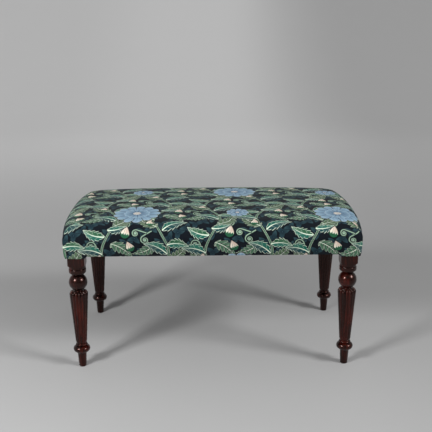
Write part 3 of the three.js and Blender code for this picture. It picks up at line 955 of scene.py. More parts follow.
def outwards(piece: bpy.types.Object) -> bpy.types.Object:
    """Merges a closed mesh's doubles and points its faces outwards."""
    work = bmesh.new()
    work.from_mesh(piece.data)
    bmesh.ops.remove_doubles(work, verts=work.verts, dist=1e-6)
    bmesh.ops.recalc_face_normals(work, faces=work.faces)
    work.to_mesh(piece.data)
    work.free()
    return piece


def declare(piece: bpy.types.Object, slot: str, *nodes: str) -> None:
    """Sets a finished piece on the body that it rides on, hides the CAD nodes that it stands for, and logs its
    faces.
    """
    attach(piece, BODY)
    if nodes:
        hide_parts(*nodes)
    log.info("%s: %d faces", piece.name, len(piece.data.polygons))


def thicken(piece: bpy.types.Object, thickness: float) -> bpy.types.Object:
    """Gives a flat sheet its thickness, behind its faces."""
    modifier = piece.modifiers.new("thick", "SOLIDIFY")
    modifier.thickness = float(thickness)
    modifier.offset = -1.0
    return settle(piece)


def vectors(mesh: bpy.types.Mesh, name: str) -> np.ndarray:
    """The place or the normal of each point of a mesh, as rows."""
    return np.array([getattr(vertex, name)[:] for vertex in mesh.vertices])


def grid_faces(wide: int, long: int, up: bool = True) -> list[Face]:
    """The faces of a grid of points that are numbered along its second side first."""
    starts = [i * long + j for i in range(wide - 1) for j in range(long - 1)]
    faces = [(a, a + long, a + long + 1, a + 1) for a in starts]
    return faces if up else [face[::-1] for face in faces]


def band_faces(rings: int, count: int) -> list[Face]:
    """The faces between closed rings of points, which look outwards when the rings go anticlockwise and up."""
    sides = [(k, (k + 1) % count) for k in range(count)]
    return [
        (low + a, low + b, low + count + b, low + count + a)
        for low in range(0, (rings - 1) * count, count) for a, b in sides
    ]


def lerp(low: Number, high: Number, share: Number) -> Number:
    """A straight mix of two values or arrays."""
    return low + (high - low) * share


def step(value: Number, low: float, high: float) -> Number:
    """A smooth step from nought at one level to one at another."""
    share = np.clip((value - low) / (high - low), 0.0, 1.0)
    return share * share * (3 - 2 * share)


@dataclass
class Legs:
    """Four turned and reeded legs. Radii and levels are those of the part."""

    spacing_x: float = 0.8
    spacing_y: float = 0.412
    height: float = 0.36
    post: float = 0.05
    arris: float = 0.003
    rail_height: float = 0.056
    foot_height: float = 0.0475
    foot_radius: float = 0.011
    foot_top_radius: float = 0.0135
    foot_arris: float = 0.0015
    bead_height: float = 0.0215
    bead_radius: float = 0.025
    ring_height: float = 0.0065
    ring_radius: float = 0.0175
    bead_neck_height: float = 0.0035
    bead_neck_radius: float = 0.014
    neck_radius: float = 0.0125
    reeds: int = 16
    reed_depth: float = 0.13
    root_radius: float = 0.017
    root_height: float = 0.008
    shoulder_radius: float = 0.0272
    tip_height: float = 0.011
    scallop: float = 0.0042
    ball_radius: float = 0.0272
    ball_neck_height: float = 0.0025
    collar_height: float = 0.0165
    collar_radius: float = 0.0255
    collar_edge: float = 0.0075
    quirk_radius: float = 0.0234
    pommel_height: float = 0.0205
    pommel_rise: float = 0.0085
    block_height: float = 0.024
    close: float = 0.00025
    reed_columns: int = 8
    bead_spread: float = 0.98
    root_narrowing: float = 0.84
    shoulder_spread: float = 0.985
    shoulder_flare: float = 1.1
    shoulder_power: float = 0.8
    collar_spread: float = 0.97
    pommel_power: float = 0.8
    curl_from: float = 1.8
    curl_to: float = 0.3
    curl_depth: float = 0.7
    finish: Finish = field(default_factory=Mahogany)

    @property
    def block_bottom(self) -> float:
        """Where the square block starts."""
        return self.height - self.block_height - self.pommel_height

    @property
    def collar_neck(self) -> float:
        """The collar's radius where its round edge starts."""
        return self.collar_radius - self.collar_edge

    @property
    def ball_level(self) -> float:
        """The level of the ball's middle."""
        return self.block_bottom - self.collar_height - self.ball_neck_height - self.ball_reach

    @property
    def ball_reach(self) -> float:
        """From the ball's middle to where it meets its neck."""
        return math.sqrt(self.ball_radius**2 - self.neck_radius**2)

    @property
    def reed_bottom(self) -> float:
        """Where the reeded shaft starts."""
        return self.foot_height + self.bead_height + self.ring_height + self.bead_neck_height

    @property
    def reed_top(self) -> float:
        """Where the reeded shaft ends."""
        return self.ball_level - self.ball_reach - self.ball_neck_height

    @staticmethod
    def oval(
        radius: float, level: float, reach: float, rise: float, start: float, end: float, steps: int
    ) -> Places:
        """Points round an oval.

        Args:
            radius: Of its middle.
            level: Of its middle.
            reach: Its half width.
            rise: Its half height.
            start: The angle of the first point from its widest one.
            end: The angle of the last point.
            steps: How many points.

        Returns:
            The points.
        """
        angles = np.linspace(start, end, steps)
        return [(radius + reach * math.cos(a), level + rise * math.sin(a)) for a in angles]

    @staticmethod
    def taper(start: Sequence[float], end: Sequence[float], steps: int) -> Places:
        """Points along a straight line between two others, without them."""
        shares = np.linspace(0, 1, steps + 2)[1:-1]
        return [tuple(lerp(a, b, share) for a, b in zip(start, end)) for share in shares]

    def foot(self) -> Places:
        """The tapered foot, from the floor up."""
        rim = self.foot_radius - self.foot_arris
        top = (self.foot_top_radius, self.foot_height - self.close)
        base = self.oval(rim, self.foot_arris, self.foot_arris, self.foot_arris, -QUARTER, 0, 6)
        return [(0.0, 0.0), (rim * 0.6, 0.0), *base, *self.taper(base[-1], top, 6), top]

    def bead(self) -> Places:
        """The bead over the foot, and the small ring and the neck over the bead."""
        level = self.foot_height + self.bead_height / 2
        reach = self.bead_radius - self.foot_top_radius
        spread = QUARTER * self.bead_spread
        neck, half = self.bead_neck_radius, self.ring_height / 2
        low = self.foot_height + self.bead_height + half
        bead = self.oval(self.foot_top_radius, level, reach, self.bead_height / 2, -spread, spread, 29)
        ring = self.oval(neck, low, self.ring_radius - neck, half, -spread, spread, 13)
        return [*bead, *ring, (neck, low + half + self.close), (neck, self.reed_bottom - self.close)]

    def shaft(self) -> Places:
        """The shaft that the reeds are cut in, with its root and its round shoulder."""
        root = [
            (lerp(self.root_radius * self.root_narrowing, self.root_radius, math.sin(a)),
             self.reed_bottom + self.root_height * (1 - math.cos(a)))
            for a in np.linspace(0, QUARTER, 8)
        ]
        head = (self.shoulder_radius, self.reed_top - self.tip_height)
        flare = self.neck_radius * self.shoulder_flare
        shoulder = [
            (lerp(flare, self.shoulder_radius, math.cos(a) ** self.shoulder_power),
             head[1] + self.tip_height * math.sin(a))
            for a in np.linspace(0, QUARTER * self.shoulder_spread, 17)
        ]
        return [*root, *self.taper(root[-1], head, 30), *shoulder]

    def head(self) -> Places:
        """The ball, the collar, the pommel, which rounds the block's lower edges and corners, and the post."""
        spread = math.acos(self.neck_radius / self.ball_radius)
        ball = self.oval(0.0, self.ball_level, self.ball_radius, self.ball_radius, -spread, spread, 37)
        low = self.block_bottom - self.collar_height
        rim, lip = self.collar_edge, self.collar_radius - self.quirk_radius
        edge = QUARTER * self.collar_spread
        collar = self.oval(self.collar_neck, low + rim, rim, rim, -edge, 0, 12)
        collar += self.oval(self.quirk_radius, self.block_bottom - lip, lip, lip, 0, edge, 8)
        face, corner = self.post / 2, self.post / 2 * math.sqrt(2)
        base = collar[-1][1] + self.close
        pommel = [
            (lerp(self.quirk_radius, face, math.sin(a)),
             base + self.pommel_rise * (1 - math.cos(a)) ** self.pommel_power)
            for a in np.linspace(0.04, QUARTER, 10)
        ]
        pommel += [
            (lerp(face, corner, math.sin(a)),
             pommel[-1][1] + (self.pommel_height - self.pommel_rise) * (1 - math.cos(a)))
            for a in np.linspace(0.12, QUARTER, 9)
        ]
        top = (corner, self.height + self.rail_height)
        neck = self.neck_radius
        return [
            (neck, self.reed_top + self.close), *ball, (neck, low - self.close), *collar,
            *pommel, *self.taper(pommel[-1], top, 7), top, (corner * 0.5, top[1]), (0.0, top[1]),
        ]

    def rule(self) -> Graph:
        """The rule that turns an outline into a reeded leg with a square post.

        Returns:
            The graph of the geometry node tree.
        """
        g = Graph(bpy.data.node_groups.new("turned_and_reeded", "GeometryNodeTree"))
        (outline,) = g.inputs("Outline", kind="Geometry")
        segments, rows, reeds = g.inputs("Segments", "Rows", "Reeds", kind="Int")
        depth, scallop, bottom, top, root, tip, half, arris, block = g.inputs(
            "Reed Depth", "Scallop", "Reeds Start", "Reeds End", "Root Height", "Tip Height", "Post Half",
            "Post Arris", "Block Level",
        )
        (finish,) = g.inputs("Finish", kind="Material")
        grid = g.add("GeometryNodeMeshGrid", {0: 1.0, 1: 1.0, 2: segments + 1.0, 3: rows})
        position = g.add("GeometryNodeInputPosition")
        x, y, _ = g.split(position)
        turn = x + 0.5
        row = g.math("ROUND", (y + 0.5) * (rows - 1.0))
        feeds = {"Geometry": outline, "Index": row, "Value": position}
        sample = g.add("GeometryNodeSampleIndex", feeds, data_type="FLOAT_VECTOR", domain="POINT")
        radius, _, level = g.split(sample)
        hollow = abs(g.math("FRACT", turn * reeds) * 2.0 - 1.0) ** 2.0
        fade = 1.0 - g.smooth(level, top - MM, top)
        body = g.smooth(level, bottom, bottom + root) * fade
        curl = g.smooth(level, top - tip * self.curl_from, top - tip * self.curl_to) * fade
        radius = radius * (1.0 - depth * hollow * body * (1.0 + curl * self.curl_depth))
        level = level - scallop * hollow * curl
        cosine, sine = g.math("COSINE", turn * TAU), g.sine(turn * TAU)
        side = half / g.most(abs(cosine), abs(sine))
        eased = (half * 2.0 - arris) / (abs(cosine) + abs(sine))
        turned = g.math("LESS_THAN", level, block - 0.1 * MM)
        radius = g.least(radius, g.least(side, eased) + turned)
        place = g.join(radius * cosine, radius * sine, level)
        leg = g.add("GeometryNodeSetPosition", {"Geometry": grid, "Position": place})
        leg = g.add("GeometryNodeMergeByDistance", {"Geometry": leg, "Distance": 0.01 * MM})
        g.finished("Leg", g.add("GeometryNodeSetShadeSmooth", {"Geometry": leg}), finish)
        return g

    def build(self) -> None:
        """Turns the four legs, each standing for its CAD node."""
        outline = [*self.foot(), *self.bead(), *self.shaft(), *self.head()]
        points = [(radius, 0.0, level) for radius, level in outline]
        rule = self.rule()
        for corner in Corner:
            leg = draw_lines(f"turned_leg_{corner.label}", points, [(i, i + 1) for i in range(len(points) - 1)])
            grow(
                leg, rule, Segments=self.reeds * self.reed_columns, Rows=len(points), Reeds=self.reeds,
                Reed_Depth=self.reed_depth, Scallop=self.scallop, Reeds_Start=self.reed_bottom,
                Reeds_End=self.reed_top, Root_Height=self.root_height, Tip_Height=self.tip_height,
                Post_Half=self.post / 2, Post_Arris=self.arris, Block_Level=self.block_bottom,
                Finish=self.finish.material(),
            )
            outwards(leg)
            across, deep = corner.value[0] * self.spacing_x / 2, corner.value[1] * self.spacing_y / 2
            leg.data.transform(Matrix.Translation((across, deep, 0.0)))
            declare(leg, "mahogany", f"leg_{corner.label}")


@dataclass
class Row:
    """One ring of the seat's side.

    Attributes:
        inset: How far in from the widest line.
        level: Above the floor.
        fullness: How much of the sides' bow it has, from nought to one.
        radius: Of its corners.
        run: The length of cloth from the top's edge down to it.
    """

    inset: float
    level: float
    fullness: float
    radius: float
    run: float = 0.0


@dataclass
class Column:
    """One line of points up the seat's side.

    Attributes:
        quarter: The corner that it belongs to or follows, anticlockwise from the back right.
        panel: The side that it is on, or nothing at a corner.
        share: Its place along a side, from -1 to 1.
        turn: Its angle at a corner.
        index: Its number within the corner's arc.
    """

    quarter: int
    panel: Optional[Panel]
    share: float = 0.0
    turn: float = 0.0
    index: int = 0

    @property
    def sign(self) -> tuple[int, int]:
        """The signs of its corner's X and Y."""
        return list(Corner)[self.quarter].value

    @property
    def starts_on_end(self) -> bool:
        """Whether its corner's arc starts from an end of the seat, and not from a long side."""
        return self.quarter % 2 == 0

    @property
    def normal(self) -> tuple[float, float]:
        """The way out from the seat."""
        if self.panel is Panel.LONG:
            return (0.0, float(self.sign[1]))
        if self.panel is Panel.END:
            return (float(self.sign[0]), 0.0)
        return (math.cos(self.turn), math.sin(self.turn))


@dataclass
class SeatForm:
    """The rounded form of the seat, and meshes that follow it."""

    half_x: float = 0.432
    half_y: float = 0.238
    bottom: float = 0.3585
    roll_bottom: float = 0.413
    roll_top: float = 0.456
    roll_reach: float = 0.052
    lower_inset: float = 0.0055
    lower_radius: float = 0.005
    corner_radius: float = 0.012
    upper_radius: float = 0.03
    crown_top: float = 0.463
    end_bow: float = 0.02
    side_bow: float = 0.01
    end_power: float = 2.4
    side_power: float = 4.0
    draw: float = 0.004
    near: tuple[float, ...] = (7, 14, 21, 28, 34, 39, 42, 44.5, 47, 49.5, 52, 55, 60, 67, 76)
    pitch: float = 0.0145
    arc_steps: int = 14
    side_rows: int = 8
    roll_rows: int = 11
    thinnest: float = 0.0003
    swell_power: int = 4
    swell_round: float = 1.5

    def rows(self, depth: float = 0.0) -> list[Row]:
        """The rings from the lower edge to the top's edge, at some depth inside the surface."""
        rows = []
        for share in np.linspace(0, 1, self.side_rows)[:-1]:
            inset = self.lower_inset * (1 - share) ** 3
            radius = lerp(self.lower_radius, self.corner_radius, share)
            level = lerp(self.bottom, self.roll_bottom, share)
            rows.append(Row(inset + depth, level, share, max(radius - depth, self.thinnest)))
        for angle in np.linspace(0, QUARTER, self.roll_rows):
            tilt = 1 - math.cos(angle)
            radius = lerp(self.corner_radius, self.upper_radius, tilt) - depth * math.cos(angle)
            level = lerp(self.roll_bottom, self.roll_top, math.sin(angle)) - depth * math.sin(angle)
            inset = self.roll_reach * tilt + depth * math.cos(angle)
            rows.append(Row(inset, level, 1.0, max(radius, self.thinnest)))
        for row, above in zip(rows[-2::-1], rows[::-1]):
            row.run = above.run + math.hypot(row.inset - above.inset, row.level - above.level)
        return rows

    def shares(self, straight: float) -> list[float]:
        """Places along a straight side, from -1 to 1, closer together near its ends."""
        near = np.array(self.near) * MM
        rest = straight - near[-1]
        count = max(2, round(rest / self.pitch))
        inner = near[-1] + rest * np.arange(1, count + 1) / count
        reach = 1 - np.concatenate([near, inner]) / straight
        return [*-reach, *reach[-2::-1]]

    @cached_property
    def columns(self) -> list[Column]:
        """The columns of the mesh, anticlockwise, each corner's arc and then the side after it."""
        found = []
        for quarter in range(4):
            turns = quarter * QUARTER + np.linspace(0, QUARTER, self.arc_steps + 1)
            found.extend(Column(quarter, None, 0.0, float(turn), i) for i, turn in enumerate(turns))
            panel, half = (Panel.END, self.half_y) if quarter % 2 else (Panel.LONG, self.half_x)
            found.extend(Column(quarter, panel, float(s)) for s in self.shares(half - self.corner_radius))
        return found

    def ring(self, row: Row) -> np.ndarray:
        """The points of one ring, bowed and drawn down as the seat is."""
        half_x, half_y = self.half_x - row.inset, self.half_y - row.inset
        straight_x, straight_y = half_x - row.radius, half_y - row.radius
        points = []
        for column in self.columns:
            sign_x, sign_y = column.sign
            if column.panel is Panel.LONG:
                x, y = -sign_x * straight_x * column.share, sign_y * half_y
            elif column.panel is Panel.END:
                x, y = sign_x * half_x, -sign_y * straight_y * column.share
            else:
                x = sign_x * straight_x + row.radius * math.cos(column.turn)
                y = sign_y * straight_y + row.radius * math.sin(column.turn)
            across, deep = abs(x) / half_x, abs(y) / half_y
            bow_x = bow_y = 0.0
            if across > deep:
                bow_x = self.end_bow * row.fullness * across * (1 - deep**self.end_power)
            elif deep > across:
                bow_y = self.side_bow * row.fullness * deep * (1 - across**self.side_power)
            drop = self.draw * row.fullness**2 * (across * deep) ** 3
            points.append((x + math.copysign(bow_x, x), y + math.copysign(bow_y, y), row.level - drop))
        return np.array(points)

    @cached_property
    def rims(self) -> dict[str, np.ndarray]:
        """The columns along each edge of the top, from left to right or from front to back."""
        count, middle = len(self.columns), self.arc_steps // 2
        starts = [i for i, c in enumerate(self.columns) if c.panel is None and c.index == middle]
        ends = [*starts[1:], starts[0] + count]
        back, left, front, right = (np.arange(a, b + 1) % count for a, b in zip(starts, ends))
        return {"front": front, "back": back[::-1], "left": left[::-1], "right": right}

    def patch(self, rim: np.ndarray, top: float) -> np.ndarray:
        """A sheet that fills a ring, as a grid from left to right and front to back, swelling in the middle."""
        front, back, left, right = (self.rims[side] for side in ("front", "back", "left", "right"))
        across, deep = rim[front][:, 0], rim[right][:, 1]
        u = ((across - across[0]) / (across[-1] - across[0]))[:, None, None]
        v = ((deep - deep[0]) / (deep[-1] - deep[0]))[None, :, None]
        low, high = rim[front][:, None], rim[back][:, None]
        grid = lerp(low, high, v) + lerp(rim[left][None], rim[right][None], u)
        grid = grid - lerp(lerp(rim[front[0]], rim[front[-1]], u), lerp(rim[back[0]], rim[back[-1]], u), v)
        wider, deeper = ((1 - np.abs(2 * s - 1) ** self.swell_power) ** self.swell_round for s in (u, v))
        wide, long = grid.shape[:2]
        grid[:, :, 2] += (top - grid[wide // 2, long // 2, 2]) * (wider * deeper)[:, :, 0]
        return grid

    def skin(self, rings: Sequence[np.ndarray]) -> MeshParts:
        """Joins rings into a band, with faces that look outwards when the rings go up."""
        return MeshParts([point for ring in rings for point in ring], band_faces(len(rings), len(self.columns)))

    def cap(
        self, parts: MeshParts, base: int, rim: np.ndarray, top: float, up: bool = True
    ) -> tuple[int, int]:
        """Fills a ring with a grid.

        Args:
            parts: The mesh that the ring is part of.
            base: The number of the ring's first point.
            rim: The ring's points.
            top: The level of its middle.
            up: Whether the faces look up.

        Returns:
            The new faces' first and last numbers.
        """
        grid = self.patch(rim, top)
        wide, long = grid.shape[:2]
        index = np.zeros((wide, long), int)
        index[:, 0], index[:, -1] = base + self.rims["front"], base + self.rims["back"]
        index[0, :], index[-1, :] = base + self.rims["left"], base + self.rims["right"]
        for i in range(1, wide - 1):
            for j in range(1, long - 1):
                index[i, j] = len(parts.points)
                parts.points.append(grid[i, j])
        first, numbers = len(parts.faces), index.ravel()
        parts.faces += [tuple(int(numbers[k]) for k in face) for face in grid_faces(wide, long, up)]
        return first, len(parts.faces)


@dataclass
class Filling:
    """The foam pad and the wadding round it."""

    form: SeatForm
    foam_depth: float = 0.0062
    wadding_depth: float = 0.0014
    wadding_bottom: float = 0.372
    rail_clearance: float = 0.0067

    def build(self) -> None:
        """Makes both."""
        lowest = float(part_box("foam_pad")[0][2])
        self.foam(lowest)
        self.wadding(lowest)

    def closed(
        self, name: str, rows: Sequence[Row], top: float, under: float, finish: Finish
    ) -> bpy.types.Object:
        """A closed piece with rings for its side and a grid at each end.

        Args:
            name: The piece's name.
            rows: Its rings.
            top: The level of the middle of the last ring's grid.
            under: That of the first one's.
            finish: What it is made of.

        Returns:
            The piece.
        """
        rings = [self.form.ring(row) for row in rows]
        parts = self.form.skin(rings)
        self.form.cap(parts, (len(rings) - 1) * len(self.form.columns), rings[-1], top)
        self.form.cap(parts, 0, rings[0], under, up=False)
        return outwards(parts.build(name, finish))

    def foam(self, lowest: float) -> None:
        """The foam pad: a closed form with a flat underside."""
        rows = [row for row in self.form.rows(self.foam_depth) if row.level > lowest + MM]
        rows.insert(0, replace(rows[0], level=lowest))
        finish = Stuffing("foam", ink(232, 226, 196), ink(214, 200, 160), cell=0.0022, depth=0.0006)
        pad = self.closed("foam_block", rows, self.form.crown_top - self.foam_depth, lowest, finish)
        declare(pad, "foam", "foam_pad")

    def wadding(self, lowest: float) -> None:
        """The wadding: a thick skin over the foam that comes down outside the rails."""
        form, clear = self.form, self.rail_clearance
        outer = [row for row in form.rows(self.wadding_depth) if row.level > self.wadding_bottom]
        by_rail = [
            Row(clear, row.level, row.fullness, max(row.radius - clear, form.thinnest))
            for row in form.rows() if self.wadding_bottom < row.level < lowest
        ]
        over_foam = [row for row in form.rows(self.foam_depth - form.thinnest) if row.level > lowest]
        rows = [*over_foam[::-1], *by_rail[::-1], *outer]
        under = form.crown_top - self.foam_depth + form.thinnest
        finish = Stuffing("wadding", ink(238, 236, 228), ink(208, 204, 192), cell=0.005, depth=0.0012)
        pad = self.closed("wadding_wrap", rows, form.crown_top - self.wadding_depth, under, finish)
        declare(pad, "wadding", "wadding")


@dataclass
class Cover:
    """The printed cover: pulled down over the seat, pleated at the corners and turned under."""

    form: SeatForm
    fold: float = 0.00135
    turn_under: float = 0.02
    post_turn: float = 0.01
    post_x: tuple[float, float] = (0.366, 0.374)
    post_y: tuple[float, float] = (0.172, 0.18)
    dip: float = 0.006
    dip_height: float = 0.03
    bulge: float = 0.0016
    fold_steps: int = 6
    flap: tuple[float, ...] = (0.0, 0.4, 0.8)
    blend: float = 0.025
    lip: int = 4
    # How far each line of a pleat goes round the corner and outwards, in millimetres, up to the one at the end.
    pleat: tuple[tuple[float, float], ...] = (
        (0.0, 0.4), (0.0, 1.2), (0.4, 2.1), (1.3, 2.9), (2.5, 3.0), (-0.9, 0.8), (-1.1, 0.0), (-0.4, 0.0),
    )
    pleat_starts: float = 0.01
    pleat_ends: float = 0.002
    hold_loss: float = 0.85
    hold_from: float = 0.02
    hold_to: float = 0.03
    pressure: float = 4.0
    frames: int = 20
    swell_limit: float = 0.0018
    settled: float = 0.0008
    finish: Finish = field(default_factory=PrintedCloth)

    def at_post(self, point: np.ndarray, column: Column) -> float:
        """How far a column lies over a leg's block rather than over a rail."""
        if column.panel is Panel.LONG:
            return float(step(abs(point[0]), *self.post_x))
        if column.panel is Panel.END:
            return float(step(abs(point[1]), *self.post_y))
        return 1.0

    def hem_paths(self) -> tuple[np.ndarray, np.ndarray]:
        """The turned-under edge over a rail and over a block, as distances inwards and levels."""
        low, r = self.form.bottom, self.fold
        steps = np.linspace(0, 1, self.fold_steps)
        rail = [(r + self.turn_under * (1 - s), low) for s in self.flap]
        rail += [(r - r * math.sin(a), low + r - r * math.cos(a)) for a in steps * QUARTER]
        centre, level = r - self.bulge, low - self.dip + r
        post = [(centre + r, level + self.post_turn * (1 - s)) for s in self.flap]
        post += [(centre - r * math.sin(a), level - r * math.cos(a)) for a in (steps * 2 - 1) * QUARTER]
        return np.array(rail), np.array(post)

    def rings(self) -> tuple[list[np.ndarray], list[float]]:
        """The rings of the cover from its free edge up, and the run of cloth down to each.

        Returns:
            The rings and the runs.
        """
        rows = self.form.rows()
        base = self.form.ring(rows[0])
        normals = np.array([column.normal for column in self.form.columns])
        share = np.array([self.at_post(p, c) for p, c in zip(base, self.form.columns)])
        rail, post = self.hem_paths()
        lengths = np.hypot(*np.diff(rail, axis=0).T)
        rings, runs = [], []
        for i, (over_rail, over_post) in enumerate(zip(rail, post)):
            inwards = lerp(over_rail[0], over_post[0], share)
            ring = base.copy()
            ring[:, :2] -= normals * inwards[:, None]
            ring[:, 2] = lerp(over_rail[1], over_post[1], share)
            rings.append(ring)
            runs.append(rows[0].run + float(lengths[i:].sum()))
        for row in rows[1:]:
            ring = self.form.ring(row)
            fade = 1 - step(row.level, self.form.bottom, self.form.bottom + self.dip_height)
            ring[:, :2] += normals * (share * self.bulge * fade)[:, None]
            ring[:, 2] -= share * self.dip * fade
            rings.append(ring)
            runs.append(row.run)
        return rings, runs

    def face_panel(self, column: Column) -> Panel:
        """The panel of the face after a column."""
        if column.panel is not None:
            return column.panel
        after = self.form.arc_steps - self.lip
        from_end = column.index < self.lip if column.starts_on_end else column.index >= after
        return Panel.END if from_end else Panel.LONG

    def flat_rings(self, panel: Panel, rings: Sequence[np.ndarray], runs: Sequence[float]) -> np.ndarray:
        """Where the points of the rings lie on the flat cloth, as seen from one panel.

        Args:
            panel: The panel.
            rings: The rings.
            runs: The run of cloth down to each ring.

        Returns:
            The places, by ring and column.
        """
        axis = 0 if panel is Panel.LONG else 1
        flat = np.zeros((len(rings), len(self.form.columns), 2))
        top = rings[-1]
        ends = {}
        for i, column in enumerate(self.form.columns):
            first = column.starts_on_end == (panel is Panel.END)
            if column.panel is None and column.index == (0 if first else self.form.arc_steps):
                ends[column.quarter] = i
        for r, (ring, run) in enumerate(zip(rings, runs)):
            share = float(step(run, 0.0, self.blend))
            for i, column in enumerate(self.form.columns):
                end = ends[column.quarter] if column.panel is None else i
                along, out = ring[i][axis], abs(top[i][1 - axis])
                if column.panel is None:
                    arc = np.linalg.norm(ring[i][:2] - ring[end][:2])
                    along = ring[end][axis] + math.copysign(arc, ring[end][axis])
                    out = abs(top[end][1 - axis])
                place = [0.0, 0.0]
                place[axis] = along
                place[1 - axis] = column.sign[1 - axis] * (out + run)
                flat[r, i] = lerp(top[i][:2], np.array(place), share)
        return flat

    def mesh(self) -> MeshParts:
        """The cover as pulled over the form, before it settles."""
        rings, runs = self.rings()
        parts = self.form.skin(rings)
        count = len(self.form.columns)
        flats = {panel: self.flat_rings(panel, rings, runs) for panel in Panel}
        parts.flat = []
        for face, corners in enumerate(parts.faces):
            flat = flats[self.face_panel(self.form.columns[face % count])]
            parts.flat.extend(tuple(flat[divmod(corner, count)]) for corner in corners)
        top = self.form.crown_top - self.settled
        first, last = self.form.cap(parts, (len(rings) - 1) * count, rings[-1], top)
        for face in parts.faces[first:last]:
            parts.flat.extend(tuple(parts.points[corner][:2]) for corner in face)
        return parts

    def settle_cloth(self, piece: bpy.types.Object) -> None:
        """Lets the cloth swell a little over its filling, held at its edge, in a short simulation."""
        start = vectors(piece.data, "co")
        held = piece.vertex_groups.new(name="held")
        low, high = self.form.bottom + self.hold_from, self.form.roll_bottom + self.hold_to
        for i, point in enumerate(start):
            held.add([i], float(1 - self.hold_loss * step(point[2], low, high)), "REPLACE")
        cloth = piece.modifiers.new("cloth", "CLOTH")
        settings = {
            "quality": 6, "mass": 0.25, "tension_stiffness": 25.0, "compression_stiffness": 12.0,
            "shear_stiffness": 8.0, "bending_stiffness": 0.4, "pin_stiffness": 1.2,
            "vertex_group_mass": held.name, "use_pressure": True, "uniform_pressure_force": self.pressure,
        }
        for name, value in settings.items():
            setattr(cloth.settings, name, value)
        cloth.settings.effector_weights.gravity = 0.0
        cloth.collision_settings.use_collision = False
        cloth.point_cache.frame_start = 1
        cloth.point_cache.frame_end = self.frames
        scene = bpy.context.scene
        for frame in range(1, self.frames + 1):
            scene.frame_set(frame)
        settle(piece)
        scene.frame_set(1)
        mesh = piece.data
        moved, normals = vectors(mesh, "co") - start, vectors(mesh, "normal")
        moved -= normals * np.minimum((moved * normals).sum(1), 0.0)[:, None]
        size = np.linalg.norm(moved, axis=1)[:, None] + 1e-12
        capped = start + moved / size * np.tanh(size / self.swell_limit) * self.swell_limit
        mesh.vertices.foreach_set("co", capped.astype(np.float32).ravel())
        mesh.update()
        log.info("cover moved %.2f mm at most", float(size.max()) / MM)

    def pleats(self, piece: bpy.types.Object) -> None:
        """Folds the cloth over itself at each corner, from the hem up to the top's edge."""
        rings, _ = self.rings()
        count = len(self.form.columns)
        low, high = self.form.roll_bottom - self.pleat_starts, self.form.roll_top - self.pleat_ends
        for i, column in enumerate(self.form.columns):
            from_end = column.index if column.starts_on_end else self.form.arc_steps - column.index
            if column.panel is not None or not 0 < from_end <= len(self.pleat):
                continue
            along, out = self.pleat[-from_end]
            normal = Vector((*column.normal, 0.0))
            tangent = Vector((-normal.y, normal.x, 0.0)) * (-1.0 if column.starts_on_end else 1.0)
            for r, ring in enumerate(rings):
                fade = float(1 - step(ring[i][2], low, high))
                piece.data.vertices[r * count + i].co += (tangent * along + normal * out) * MM * fade

    def build(self) -> None:
        """Makes the cover, which stands for its CAD node."""
        piece = self.mesh().build("printed_cover", self.finish)
        self.settle_cloth(piece)
        self.pleats(piece)
        smooth = piece.modifiers.new("smooth", "SUBSURF")
        smooth.levels = smooth.render_levels = 1
        settle(piece)
        run = self.rings()[1][0]
        top = self.form.rows()[-1]
        wide = 2 * (self.form.half_x - top.inset + self.form.end_bow + run)
        deep = 2 * (self.form.half_y - top.inset + self.form.side_bow + run)
        declare(piece, "printed_cloth", "cover")


